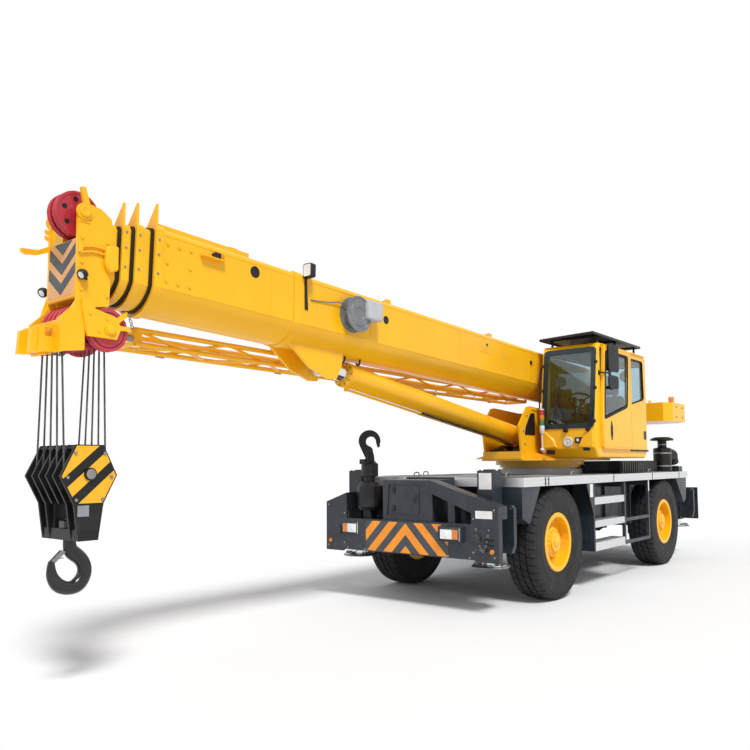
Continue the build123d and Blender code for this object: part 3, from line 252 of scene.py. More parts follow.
def brushed(name, light, dark, rough=0.3, stretch=(2, 90, 90)):
    """Bare metal with fine lines along one way."""
    mat, tree, shader = new_material(name)
    lines = noise(tree, 6, 6, stretch)
    tree.links.new(ramp(tree, lines, [(0.3, dark), (0.7, light)]), shader.inputs["Base Color"])
    mottled_gloss(tree, shader, lines, 0.3, 0.7, rough * 0.8, rough * 1.3)
    shader.inputs["Metallic"].default_value = 1.0
    bump(tree, shader, lines, 0.08, 0.002)
    return mat


def tyre_rubber():
    """Black rubber with brownish worn patches."""
    mat, tree, shader = new_material("tyre_rubber")
    base = ramp(tree, noise(tree, 7, 8), [(0.3, (0.011, 0.011, 0.012)), (0.7, (0.024, 0.023, 0.023))])
    worn = multiply(tree, ramp(tree, noise(tree, 16, 6), [(0.4, (0, 0, 0)), (0.75, (1, 1, 1))]), 0.12)
    tree.links.new(blend_colours(tree, worn, base, (0.11, 0.095, 0.08)), shader.inputs["Base Color"])
    shader.inputs["Roughness"].default_value = 0.72
    shader.inputs["Specular IOR Level"].default_value = 0.3
    bump(tree, shader, noise(tree, 120, 6), 0.25, 0.003)
    return mat


def tinted_pane():
    """Clear glass with a blue-green cast and faint smears."""
    mat, tree, shader = new_material("tinted_glass")
    colour = (0.54, 0.71, 0.77)
    cast = ramp(tree, noise(tree, 3, 3), [(0.3, tuple(c * 0.94 for c in colour)), (0.7, colour)])
    tree.links.new(cast, shader.inputs["Base Color"])
    shader.inputs["Transmission Weight"].default_value = 1.0
    shader.inputs["IOR"].default_value = 1.45
    mottled_gloss(tree, shader, noise(tree, 30, 4), 0.4, 0.8, 0.0, 0.05)
    return mat


def moulded(name, light, dark, rough=0.5, grain=420, depth=0.18, shine=0.4):
    """Moulded plastic with a fine grain."""
    mat, tree, shader = new_material(name)
    tree.links.new(ramp(tree, noise(tree, 5, 4), [(0.3, dark), (0.7, light)]), shader.inputs["Base Color"])
    shader.inputs["Roughness"].default_value = rough
    shader.inputs["Specular IOR Level"].default_value = shine
    bump(tree, shader, noise(tree, grain, 3), depth, 0.002)
    return mat


def film(name, light, dark, rough=0.45):
    """Printed film or a small painted plate: even, with slight mottling and dulled patches."""
    mat, tree, shader = new_material(name)
    tint(tree, shader, [(0.35, dark), (0.65, light)], 8)
    mottled_gloss(tree, shader, noise(tree, 14, 5), 0.3, 0.7, rough * 0.8, rough * 1.2)
    return mat


def coloured_lens(name, light, dark):
    """Ribbed translucent plastic."""
    mat, tree, shader = new_material(name)
    tint(tree, shader, [(0.3, dark), (0.7, light)], 30)
    shader.inputs["Roughness"].default_value = 0.18
    shader.inputs["Transmission Weight"].default_value = 0.25
    shader.inputs["Coat Weight"].default_value = 0.6
    bump(tree, shader, noise(tree, 160, 2, (1, 1, 4)), 0.25, 0.002)
    return mat


finishes = [
    # name, how it is made, the record's slot, light and dark colour, what differs from the usual
    ("yellow_paint", enamel, "yellow_paint", (0.95, 0.49, 0.006), (0.90, 0.44, 0.005),
     dict(coat=0.14, dusty=0.05, shine=0.35)),
    ("carrier_paint", enamel, "carrier_paint", (0.020, 0.027, 0.035), (0.014, 0.020, 0.027),
     dict(rough=0.42, coat=0.12, dusty=0.02, shine=0.4)),
    ("black_paint", enamel, "black_paint", (0.009, 0.0095, 0.010), (0.005, 0.0055, 0.006),
     dict(rough=0.42, coat=0.05, dusty=0.02, shine=0.3)),
    ("red_paint", enamel, "red_paint", (0.50, 0.022, 0.040), (0.40, 0.014, 0.028),
     dict(rough=0.4, dusty=0.02)),
    ("aluminium_trim", brushed, "aluminium_trim", (0.80, 0.81, 0.82), (0.66, 0.67, 0.69), dict(rough=0.42)),
    ("chrome_rod", brushed, "chrome_rod", (0.78, 0.79, 0.80), (0.70, 0.71, 0.72),
     dict(rough=0.14, stretch=(60, 60, 2))),
    ("wire_rope", brushed, "wire_rope", (0.16, 0.155, 0.15), (0.05, 0.05, 0.05),
     dict(rough=0.5, stretch=(1, 1, 1))),
    ("seat_trim", moulded, "seat_trim", (0.045, 0.046, 0.050), (0.028, 0.028, 0.030),
     dict(rough=0.85, grain=300)),
    ("lamp_lens", moulded, "lamp_lens", (0.82, 0.83, 0.82), (0.70, 0.71, 0.72),
     dict(rough=0.15, grain=60, depth=0.3)),
    ("bare_steel", brushed, "bare_steel", (0.36, 0.35, 0.34), (0.22, 0.215, 0.21), dict(rough=0.45)),
    ("grey_plastic", moulded, "grey_plastic", (0.52, 0.53, 0.54), (0.44, 0.45, 0.46), dict(rough=0.45)),
    ("orange_film", film, "lamp_lens", (0.88, 0.30, 0.015), (0.78, 0.25, 0.012), {}),
    # yellow_in_painted_shade: the yellow paint darkened to a dull beige orange, painted shade for a face
    # turned away from the light
    ("yellow_in_painted_shade", film, "yellow_paint", (0.72, 0.36, 0.14), (0.62, 0.30, 0.11), {}),
    ("dark_film", film, "carrier_paint", (0.050, 0.058, 0.070), (0.036, 0.042, 0.052), {}),
    ("stripe_paint", film, "yellow_paint", (0.93, 0.47, 0.012), (0.86, 0.40, 0.010), dict(rough=0.4)),
    # groove_shade_paint: darker yellow for painted shade in a groove
    ("groove_shade_paint", film, "yellow_paint", (0.80, 0.40, 0.010), (0.72, 0.34, 0.009), {}),
    ("yellow_shade", film, "yellow_paint", (0.88, 0.45, 0.012), (0.80, 0.39, 0.010), {}),
    ("plate_white", film, "grey_plastic", (0.78, 0.78, 0.77), (0.68, 0.68, 0.67), {}),
    ("plate_grey", film, "grey_plastic", (0.30, 0.31, 0.32), (0.22, 0.23, 0.24), {}),
    ("treadplate", brushed, "aluminium_trim", (0.40, 0.41, 0.42), (0.26, 0.27, 0.28),
     dict(rough=0.5, stretch=(3, 3, 3))),
    ("satin_black", enamel, "black_paint", (0.012, 0.012, 0.013), (0.007, 0.007, 0.008),
     dict(rough=0.45, coat=0.05, dusty=0.02, shine=0.3)),
    ("black_gloss", enamel, "black_paint", (0.008, 0.009, 0.010), (0.004, 0.005, 0.006),
     dict(rough=0.25, coat=0.35, dusty=0.01, shine=0.35)),
    ("screen_tint", enamel, "black_paint", (0.016, 0.032, 0.042), (0.011, 0.024, 0.033),
     dict(rough=0.25, coat=0.0, dusty=0.0, shine=0.25)),
    ("moulded_black", moulded, "black_paint", (0.014, 0.015, 0.017), (0.009, 0.009, 0.010),
     dict(rough=0.5, shine=0.25)),
    ("rubber_seal", moulded, "black_paint", (0.016, 0.017, 0.018), (0.011, 0.011, 0.012),
     dict(rough=0.6, grain=200, shine=0.2)),
    ("hose_rubber", moulded, "black_paint", (0.022, 0.022, 0.023), (0.014, 0.014, 0.015),
     dict(rough=0.55, grain=260, depth=0.3)),
    ("light_grey", moulded, "grey_plastic", (0.66, 0.67, 0.67), (0.56, 0.57, 0.58), dict(rough=0.4)),
    ("reel_grey", moulded, "grey_plastic", (0.20, 0.21, 0.22), (0.13, 0.135, 0.14), dict(rough=0.42)),
    ("amber_lens", coloured_lens, "lamp_lens", (0.90, 0.28, 0.01), (0.72, 0.20, 0.01), {}),
    ("red_lens", coloured_lens, "lamp_lens", (0.70, 0.025, 0.02), (0.50, 0.015, 0.012), {}),
    ("green_lens", coloured_lens, "lamp_lens", (0.03, 0.34, 0.10), (0.02, 0.22, 0.06), {}),
]
finish = {name: make(name, light, dark, **more) for name, make, slot, light, dark, more in finishes}
finish["tyre_rubber"] = tyre_rubber()
finish["tinted_glass"] = tinted_pane()
slot_of_finish = {name: slot for name, make, slot, light, dark, more in finishes}
slot_of_finish["tyre_rubber"] = "tyre_rubber"


def dress_cad():
    """Each CAD node takes the finish of its material slot."""
    slot_of = {part["node"]: part["material_slot"] for part in frame["record"]["subparts"]}
    for name, node in nodes.items():
        node.data.materials.clear()
        node.data.materials.append(finish[slot_of[name]])


# Modelling helpers: each leaves one object in object mode, with its place in its mesh

def begin():
    bpy.ops.object.select_all(action="DESELECT")


def settle():
    bpy.ops.object.transform_apply(location=True, rotation=True, scale=True)
    return bpy.context.object


def edit(select=True):
    bpy.ops.object.mode_set(mode="EDIT")
    bpy.ops.mesh.select_mode(type="FACE")
    bpy.ops.mesh.select_all(action="SELECT" if select else "DESELECT")


def leave():
    bpy.ops.object.mode_set(mode="OBJECT")
    return bpy.context.object


def pick(piece, test):
    """Select the faces that pass the test, in edit mode."""
    mesh = bmesh.from_edit_mesh(piece.data)
    for face in mesh.faces:
        face.select_set(bool(test(face)))
    mesh.select_flush_mode()
    bmesh.update_edit_mesh(piece.data)


def tidy():
    bpy.ops.mesh.select_all(action="SELECT")
    bpy.ops.mesh.remove_doubles(threshold=0.00001)
    bpy.ops.mesh.delete_loose(use_verts=True, use_edges=True, use_faces=False)
    bpy.ops.mesh.select_all(action="SELECT")
    bpy.ops.mesh.normals_make_consistent(inside=False)


def block(low, high, soft=0.004, steps=1):
    """Box between two corners with its edges eased."""
    begin()
    low, high = Vector(low), Vector(high)
    bpy.ops.mesh.primitive_cube_add(size=1, location=(low + high) / 2)
    bpy.context.object.scale = high - low
    settle()
    edit()
    bpy.ops.mesh.bevel(offset=soft, segments=steps, affect="EDGES")
    return leave()


def disc(centre, way, radius, depth, sides=32, steps=((0.1, 0.0),)):
    """Disc standing on centre; its outer face is inset and pushed in steps of (share of radius, depth)."""
    begin()
    way = Vector(way).normalized()
    bpy.ops.mesh.primitive_cylinder_add(vertices=sides, radius=radius, depth=depth,
                                        location=Vector(centre) + way * depth / 2,
                                        rotation=way.to_track_quat("Z", "Y").to_euler())
    piece = settle()
    edit(False)
    pick(piece, lambda face: face.normal.dot(way) > 0.9)
    for share, push in steps:
        bpy.ops.mesh.inset(thickness=share * radius, depth=push)
    return leave()


def turned(profile, centre, way=(0, 0, 1), sides=48):
    """Closed outline of (radius, along) pairs spun about the line through centre along way."""
    begin()
    bpy.ops.mesh.primitive_circle_add(vertices=len(profile), radius=1, fill_type="NOTHING")
    piece = bpy.context.object
    for vertex, (r, along) in zip(piece.data.vertices, profile):
        vertex.co = (r, 0, along)
    edit()
    bpy.ops.mesh.select_mode(type="VERT")
    bpy.ops.mesh.select_all(action="SELECT")
    bpy.ops.mesh.spin(steps=sides, angle=2 * pi, center=(0, 0, 0), axis=(0, 0, 1))
    tidy()
    leave()
    turn = Vector(way).to_track_quat("Z", "Y").to_matrix().to_4x4()
    piece.data.transform(Matrix.Translation(centre) @ turn)
    return piece


def outline_face(outline, axis, at, corner):
    """Flat face on an outline with round corners: X, Z pairs across Y; Y, Z across X; X, Y across Z."""
    begin()
    bpy.ops.mesh.primitive_circle_add(vertices=len(outline), radius=1, fill_type="NGON")
    piece = bpy.context.object
    for vertex, (a, b) in zip(piece.data.vertices, outline):
        vertex.co = {"X": (at, a, b), "Y": (a, at, b), "Z": (a, b, at)}[axis]
    edit()
    if corner:
        bpy.ops.mesh.bevel(offset=corner, segments=5, affect="VERTICES")
        bpy.ops.mesh.select_all(action="SELECT")


def along_axis(axis, amount):
    return Vector({"X": (amount, 0, 0), "Y": (0, amount, 0), "Z": (0, 0, amount)}[axis])


def thicken(axis, amount):
    """Give the selected faces a thickness along an axis, in edit mode."""
    bpy.ops.mesh.extrude_region_move(TRANSFORM_OT_translate={"value": along_axis(axis, amount)})
    bpy.ops.mesh.select_all(action="SELECT")
    bpy.ops.mesh.normals_make_consistent(inside=False)


def plate(outline, axis, low, high, soft=0.0, corner=0.0):
    """Plate cut to an outline between two places along its axis; corner rounds the outline."""
    outline_face(outline, axis, low, corner)
    thicken(axis, high - low)
    if soft:
        bpy.ops.mesh.bevel(offset=soft, segments=1, affect="EDGES", clamp_overlap=True)
    return leave()


def band(outline, axis, low, high, width, corner=0.05):
    """Frame of one width inside an outline, such as the seal round a window."""
    outline_face(outline, axis, low, corner)
    bpy.ops.mesh.inset(thickness=width, depth=0)
    bpy.ops.mesh.delete(type="ONLY_FACE")
    bpy.ops.mesh.select_all(action="SELECT")
    thicken(axis, high - low)
    return leave()


def pipe(points, radius, smooth=True, sides=3, bends=5, swell=None):
    """Pipe, hose or rod: smooth ones bend, the others turn sharply; swell is each point's share."""
    begin()
    bpy.ops.curve.primitive_nurbs_path_add()
    piece = bpy.context.object
    data = piece.data
    data.splines.clear()
    line = data.splines.new("NURBS" if smooth else "POLY")
    line.points.add(len(points) - 1)
    for i, (point, place) in enumerate(zip(line.points, points)):
        point.co = (*place, 1)
        if swell:
            point.radius = swell[i]
    if smooth:
        line.order_u = 3
        line.use_endpoint_u = True
    data.dimensions = "3D"
    data.resolution_u = bends
    data.bevel_depth = radius
    data.bevel_resolution = sides
    data.use_fill_caps = True
    piece.matrix_world = Matrix.Identity(4)
    bpy.ops.object.convert(target="MESH")
    return bpy.context.object


def again(piece, move=Matrix.Identity(4)):
    """Copy of a piece with its own mesh, moved, turned or mirrored."""
    twin = piece.copy()
    twin.data = piece.data.copy()
    bpy.context.scene.collection.objects.link(twin)
    twin.data.transform(move)
    if move.to_3x3().determinant() < 0:
        twin.data.flip_normals()
    return twin


def shifted(x=0.0, y=0.0, z=0.0):
    return Matrix.Translation((x, y, z))


across = Matrix.Scale(-1, 4, (0, 1, 0))          # left to right side
about = Matrix.Rotation(pi, 4, "Z")


def both(parts):
    """The parts and their mirror images on the other side."""
    return parts + [again(part, across) for part in parts]


def outward(side, at, thick):
    """Low and high Y of a thickness that stands out from a face, on the left (1) or right (-1)."""
    return sorted((side * at, side * (at + thick)))


def discard(*parts):
    for part in parts:
        bpy.data.objects.remove(part)


def all_round(part, count, axis="Y", start=0.0):
    """Copies of a part turned evenly about an axis through the origin."""
    return [again(part, Matrix.Rotation(2 * pi * (i + start) / count, 4, axis)) for i in range(count)]


def join(parts):
    begin()
    for part in parts:
        part.select_set(True)
    bpy.context.view_layer.objects.active = parts[0]
    if len(parts) > 1:
        bpy.ops.object.join()
    return bpy.context.object


# Pieces are drawn in metres from the slewing axis at rest, or along the boom from its foot pin.
# Pins as X, Z from the slewing axis
boom_pin = (-1.75, 2.93)
cylinder_pin, cylinder_eye = (0.476, 2.007), (4.760, 2.634)
boom_angle = radians(2.2)
world = Matrix.Translation((slew_x, 0, 0))
boom_place = world @ shifted(boom_pin[0], 0, boom_pin[1]) @ Matrix.Rotation(-boom_angle, 4, "Y")


def joined(name, parts, finish_name, place=world, angle=35):
    """Parts joined into one named piece of one finish, in its place."""
    piece = join(parts)
    piece.data.transform(place)
    piece.name = name
    piece.data.name = name
    piece.data.materials.clear()
    piece.data.materials.append(finish[finish_name])
    bpy.ops.object.shade_smooth_by_angle(angle=radians(angle))
    return piece


def gather(name, parts, finish_name, body, place=world, angle=35):
    """The same, riding on a body."""
    piece = joined(name, parts, finish_name, place, angle)
    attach(piece, body)
    return piece


# Wheels

axle_x, wheel_y, axle_z = 1.925, 1.0425, 0.6835
corners = {"front_left": (1, 1), "front_right": (1, -1), "rear_left": (-1, 1), "rear_right": (-1, -1)}


def tyre():
    """Tyre about the Y axis at the origin: smooth walls, shoulder blocks and staggered centre blocks."""
    half = [
        # radius, distance from the middle, from the bead out and over the shoulder
        (0.358, 0.148), (0.360, 0.166), (0.372, 0.173), (0.384, 0.170), (0.42, 0.182), (0.47, 0.1895),
        (0.475, 0.1912), (0.482, 0.1912), (0.487, 0.1900), (0.53, 0.1905), (0.58, 0.1895), (0.618, 0.187),
        (0.628, 0.180), (0.644, 0.172), (0.652, 0.155), (0.660, 0.09), (0.663, 0.03),
    ]
    inner = [(0.640, 0.0), (0.636, 0.10), (0.615, 0.15), (0.54, 0.166), (0.45, 0.160)]
    right = [(r, -y) for r, y in reversed(half)]
    profile = half + right + [(r, -y) for r, y in reversed(inner)] + inner[1:]
    carcass = turned(profile, (0, 0, 0), (0, 1, 0), 72)
    shoulder = [
        (0.650, 0.088), (0.6825, 0.092), (0.6795, 0.130), (0.671, 0.166), (0.655, 0.183), (0.640, 0.1888),
        (0.626, 0.1892), (0.622, 0.178), (0.640, 0.165),
    ]
    centre = [(0.655, 0.010), (0.6832, 0.013), (0.6830, 0.074), (0.655, 0.078)]
    count = 44
    pitch = 2 * pi / count
    blocks = [
        # profile, share of the pitch filled, skew in radians per metre, start of the first
        (shoulder, 0.89, 0.25, 0.0), (centre, 0.88, 1.1, 0.5),
    ]
    parts = [carcass]
    for outline, fill, skew, start in blocks:
        lug = lug_of(outline, pitch * fill)
        for vertex in lug.data.vertices:
            turn = Matrix.Rotation(skew * vertex.co.y, 4, "Y")
            vertex.co = turn @ vertex.co
        for side in (1, -1):
            first = again(lug, Matrix.Rotation(pi, 4, "X") if side < 0 else Matrix.Identity(4))
            parts += all_round(first, count, start=start + (0.5 if side < 0 else 0.0))
            discard(first)
        discard(lug)
    return join(parts)


def lug_of(outline, angle):
    """One tread block: its section swept a little way round the tyre."""
    begin()
    bpy.ops.mesh.primitive_circle_add(vertices=len(outline), radius=1, fill_type="NGON")
    piece = bpy.context.object
    for vertex, (r, along) in zip(piece.data.vertices, outline):
        vertex.co = (r, along, 0)
    edit()
    bpy.ops.mesh.spin(steps=2, angle=angle, center=(0, 0, 0), axis=(0, 1, 0))
    bpy.ops.mesh.select_all(action="SELECT")
    bpy.ops.mesh.normals_make_consistent(inside=False)
    return leave()


def wheel_bolts():
    """Wheel nuts, cap screws on the hub, and the valve; outer face towards +Y, axle at the origin."""
    nut = disc((0.225, 0.034, 0), (0, 1, 0), 0.015, 0.022, 6, ((0.25, 0.004),))
    stud = disc((0.225, 0.05, 0), (0, 1, 0), 0.008, 0.016, 10, ((0.3, 0.002),))
    cap = disc((0.145, 0.108, 0), (0, 1, 0), 0.009, 0.014, 6, ((0.3, 0.002),))
    parts = all_round(nut, 10) + all_round(stud, 10) + all_round(cap, 16, start=0.5)
    hub_cap = [(0, 0), (0.062, 0), (0.062, 0.010), (0.052, 0.016), (0.03, 0.016), (0.026, 0.022),
               (0, 0.022)]
    flange = [(0.300, 0), (0.345, 0), (0.352, 0.004), (0.345, 0.010), (0.318, 0.010), (0.300, 0.004)]
    parts.append(turned(hub_cap, (0, 0.1415, 0), (0, 1, 0), 24))
    parts.append(turned(flange, (0, 0.1645, 0), (0, 1, 0), 64))
    valve = pipe([(0.262, 0.04, 0), (0.265, 0.09, 0), (0.272, 0.13, 0)], 0.006)
    discard(nut, stud, cap)
    return parts, valve


def make_wheels():
    rubber = tyre()
    bolts, valve = wheel_bolts()
    for name, (end, side) in corners.items():
        place = world @ shifted(end * axle_x, side * wheel_y, axle_z)
        if side < 0:
            place = place @ about
        body = "wheel_" + name
        cover = gather("tyre_tread_" + name, [again(rubber)], "tyre_rubber", body, place)
        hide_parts("tyre_" + name)
        gather("rim_bolts_" + name, [again(part) for part in bolts], "yellow_paint", body, place)
        gather("valve_" + name, [again(valve)], "bare_steel", body, place)
    discard(rubber, valve, *bolts)


# Stripes and chevrons, as thin plates that follow what they lie on

def cut(piece, place, away):
    """Cut off what lies beyond a plane, on the side that away points to."""
    begin()
    piece.select_set(True)
    bpy.context.view_layer.objects.active = piece
    edit()
    bpy.ops.mesh.bisect(plane_co=place, plane_no=away, use_fill=True, clear_outer=True)
    leave()


def clip_to(piece, axis, low, high):
    """Cut off what lies outside two places along an axis."""
    normal = along_axis(axis, 1.0)
    cut(piece, normal * low, -normal)
    cut(piece, normal * high, normal)


def cut_along(piece, a, b):
    """Cut off what lies right of the line from a to b, seen with X to the right and Z up."""
    cut(piece, a, Vector((0, 1, 0)).cross(Vector(b) - Vector(a)))


def keep(piece, kept):
    """Add a cut piece to those kept, unless nothing of it is left."""
    if len(piece.data.polygons):
        kept.append(piece)
    else:
        discard(piece)


bumper_face = 3.386


def front_chevrons():
    """Orange band across the front plate with dark stripes that meet in the middle."""
    y0, y1, z0, z1 = -0.590, 0.598, 0.612, 0.962
    mid = 0.008
    field = block((bumper_face, y0, z0), (bumper_face + 0.003, y1, z1), 0.001)
    gather("front_band", [field], "orange_film", "carrier")
    stripes = []
    wide, slant, pitch, foot = 0.120, 0.340, 0.250, 0.083
    for side in (-1, 1):
        for i in range(4):
            a = mid + side * (foot - slant + i * pitch)
            b = a + side * wide
            run = side * slant
            outline = [(a, z1 + 0.001), (b, z1 + 0.001), (b + run, z0 - 0.001), (a + run, z0 - 0.001)]
            stripe = plate(outline, "X", bumper_face + 0.002, bumper_face + 0.0045)
            low, high = (mid, y1) if side > 0 else (y0, mid)
            clip_to(stripe, "Y", low, high)
            keep(stripe, stripes)
    gather("front_chevrons", stripes, "dark_film", "carrier")


falls_x, falls_z = 7.4103, 2.6554
block_z, block_half, block_pitch = 1.58, 0.26, 0.10
sheave_count = 5


def hook_block_dress():
    """Striped outer cheeks, axle nuts, rope guards and a blank plate on the block."""
    yellow, plain, steel = [], [], []
    outer = block_half - 0.001
    hexagon = [(-0.100, 1.375), (0.100, 1.375), (0.203, 1.568),
               (0.098, 1.782), (-0.098, 1.782), (-0.203, 1.568)]
    reach, rise, middle_z = 0.3, 0.26, 1.583
    for side in (-1, 1):
        y0, y1 = outward(side, outer, 0.0035)
        # yellow bands that rise towards the rear across the hexagon of each outer cheek
        for low, high in ((-0.40, -0.140), (-0.050, 0.048), (0.138, 0.40)):
            rear, front = falls_x - reach, falls_x + reach
            outline = [(rear, middle_z + rise + low), (front, middle_z - rise + low),
                       (front, middle_z - rise + high), (rear, middle_z + rise + high)]
            stripe = plate(outline, "Y", y0, y1)
            for a, b in zip(hexagon, hexagon[1:] + hexagon[:1]):
                cut_along(stripe, (falls_x + a[0], 0, a[1]), (falls_x + b[0], 0, b[1]))
            keep(stripe, yellow)
        way = (0, side, 0)
        steel.append(disc((falls_x, side * 0.278, block_z), way, 0.036, 0.008, 24, ((0.2, 0.003),)))
        for x, z in ((0.11, 1.73), (0.165, 1.56), (0.10, 1.40)):
            for end in (-1, 1):
                centre = (falls_x + end * x, side * (outer + 0.001), z)
                steel.append(disc(centre, way, 0.013, 0.012, 6, ((0.3, 0.002),)))
        plain.append(block((falls_x, y0, 1.282), (falls_x + 0.085, y1, 1.360), 0.001))
    gather("block_stripes", yellow, "stripe_paint", "hook_block", angle=20)
    gather("block_bolts", steel, "bare_steel", "hook_block")
    gather("block_plate", plain, "plate_grey", "hook_block")
    # bars across the top that keep the rope in the grooves
    bars = [pipe([(falls_x + s * 0.10, -0.255, 1.765), (falls_x + s * 0.10, 0.255, 1.765)], 0.012, False)
            for s in (-1, 1)]
    for side in (-1, 1):
        y0, y1 = outward(side, 0.105, 0.150)
        bars.append(block((falls_x - 0.062, y0, 1.135), (falls_x + 0.062, y1, 1.43), 0.004))
    gather("block_guards", bars, "black_paint", "hook_block")


def hook():
    """Forged hook with a round, tapering section, its nut and latch, over the flat CAD one."""
    x = falls_x
    route = [
        # X from the shank, Z, radius across
        (0.0, 1.10, 0.046), (-0.002, 1.035, 0.050), (-0.030, 1.005, 0.056), (-0.085, 0.965, 0.052),
        (-0.121, 0.905, 0.052), (-0.120, 0.835, 0.054), (-0.075, 0.770, 0.058), (-0.005, 0.752, 0.0478),
        (0.070, 0.775, 0.052), (0.118, 0.835, 0.044), (0.134, 0.900, 0.034), (0.131, 0.960, 0.022),
    ]
    body = pipe([(x + dx, 0, z) for dx, z, r in route], 1.0, True, 5, 8, [r for dx, z, r in route])
    flat, half_thick = 0.86, 0.044
    for vertex in body.data.vertices:
        vertex.co.y = max(-half_thick, min(half_thick, vertex.co.y * flat))
    shank = turned([(0, 0), (0.0445, 0), (0.0445, 0.155), (0.036, 0.160), (0.036, 0.168), (0, 0.168)],
                   (x, 0, 1.09), (0, 0, 1), 32)
    nut = disc((x, 0, 1.193), (0, 0, 1), 0.072, 0.050, 6, ((0.18, 0.004),))
    parts = [body, shank, nut]
    cheek = [(x + 0.030, 1.02), (x + 0.062, 1.035), (x + 0.140, 0.962), (x + 0.118, 0.940)]
    latch = [plate(cheek, "Y", -0.016, -0.013), plate(cheek, "Y", 0.013, 0.016),
             block((x + 0.045, -0.016, 0.975), (x + 0.125, 0.016, 0.979), 0.001)]
    piece = gather("hook_forging", parts, "black_gloss", "crane_hook", angle=50)
    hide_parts("crane_hook")
    gather("hook_latch", latch, "bare_steel", "crane_hook")


def ropes():
    """Ten falls of twisted wire rope between the head's sheaves and the block's."""
    strands, per_turn = 6, 6
    rope_r, strand_r = 0.0075, 0.0030
    lay = 0.09
    top_reach, foot_reach, top_pitch = 0.1630, 0.1560, 0.065
    falls = []
    for i in range(sheave_count):
        place = i - (sheave_count - 1) / 2
        for side in (-1, 1):
            top = Vector((falls_x + side * top_reach, place * top_pitch, falls_z))
            foot = Vector((falls_x + side * foot_reach, place * block_pitch, block_z))
            way = (foot - top).normalized()
            u = way.orthogonal().normalized()
            v = way.cross(u)
            length = (foot - top).length
            steps = int(length / lay * per_turn)
            falls.append(pipe([top, foot], strand_r * 1.1, False, 1))
            for k in range(strands):
                points = []
                for j in range(steps + 1):
                    turn = 2 * pi * (j / per_turn + k / strands)
                    along = length * j / steps
                    points.append(top + way * along + (u * cos(turn) + v * sin(turn)) * (rope_r - strand_r))
                falls.append(pipe(points, strand_r, False, 1))
    piece = joined("rope_falls_wire", falls, "wire_rope", angle=60)
    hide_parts("hoist_ropes")
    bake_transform(piece)


# Cab

cab_y0, cab_y1 = 0.385, 1.200
cab_mid = (cab_y0 + cab_y1) / 2
door_face = cab_y1 + 0.0003 + 0.040
# Corners as X, Z or Y, Z
rear_side_window = [(-0.62, 2.49), (-0.62, 3.20), (-1.18, 3.20), (-1.205, 2.60)]
right_window = [(0.50, 2.30), (0.44, 3.20), (-1.15, 3.20), (-1.18, 2.50)]
door_window = [(0.47, 2.235), (-0.39, 2.45), (-0.455, 3.19), (0.385, 3.19)]
rear_window = [(cab_y0 + 0.09, 2.48), (cab_y1 - 0.09, 2.48), (cab_y1 - 0.09, 3.15), (cab_y0 + 0.09, 3.15)]
screen_foot, screen_brow = (0.700, 2.150), (0.560, 3.240)       # X, Z of the windscreen's plane


def screen_x(z):
    (x0, z0), (x1, z1) = screen_foot, screen_brow
    return x0 + (x1 - x0) * (z - z0) / (z1 - z0)


def grown(outline, d):
    """Four corners moved out from their middle by d each way."""
    mx = sum(a for a, b in outline) / len(outline)
    mz = sum(b for a, b in outline) / len(outline)
    return [(a + (d if a > mx else -d), b + (d if b > mz else -d)) for a, b in outline]


def lean_on_screen(piece, proud=0.0):
    """Set a piece drawn across X = 0 onto the slanted windscreen."""
    for vertex in piece.data.vertices:
        vertex.co.x += screen_x(vertex.co.z) + proud
    return piece


def cab_seals():
    """Black rubber round every window, wide on the glued windscreen."""
    d = 0.012
    parts = [
        band(grown(rear_side_window, -0.001), "Y", cab_y1 - 0.022, cab_y1 - 0.0006, 0.020, 0.055),
        band(grown(right_window, d), "Y", cab_y0 - 0.004, cab_y0 + 0.004, 0.030, 0.06),
        band(grown(rear_window, d), "X", -1.314, -1.306, 0.030, 0.06),
    ]
    gather("cab_seals", parts, "rubber_seal", "turntable", angle=30)
    y0, y1, z0, z1 = cab_y0 + 0.016, cab_y1 - 0.016, 2.108, 3.240
    screen = [(y0, z0), (y1, z0), (y1, z1), (y0, z1)]
    border = lean_on_screen(band(screen, "X", -0.004, 0.005, 0.070, 0.060))
    gather("screen_border", [border], "screen_tint", "turntable", angle=30)
    door = band(grown(door_window, d), "Y", door_face - 0.004, door_face + 0.004, 0.032, 0.06)
    gather("door_seal", [door], "rubber_seal", "cab_door", angle=30)


def wiper(foot_y, foot_z, tip_y, tip_z, blade):
    """Pantograph arm with its blade lying on the windscreen."""
    a, b = Vector((0, foot_y, foot_z)), Vector((0, tip_y, tip_z))
    side = Vector((0, 0.022, 0.010))
    parts = []
    for shift in (Vector((0, 0, 0)), side):
        ends = [a + shift, (a + b) / 2 + shift + Vector((0.012, 0, 0)), b + shift * 0.3]
        parts.append(pipe([(screen_x(p.z) + 0.022 + p.x, p.y, p.z) for p in ends], 0.0055))
    way = Vector((0, 0.18, 1)).normalized() * blade / 2
    ends = [b - way, b, b + way]
    parts.append(pipe([(screen_x(p.z) + 0.012, p.y, p.z) for p in ends], 0.008, False, 1))
    boss = (screen_x(foot_z) - 0.004, foot_y, foot_z)
    parts.append(disc(boss, (1, 0, 0.1), 0.032, 0.030, 16, ((0.25, 0.006),)))
    return parts


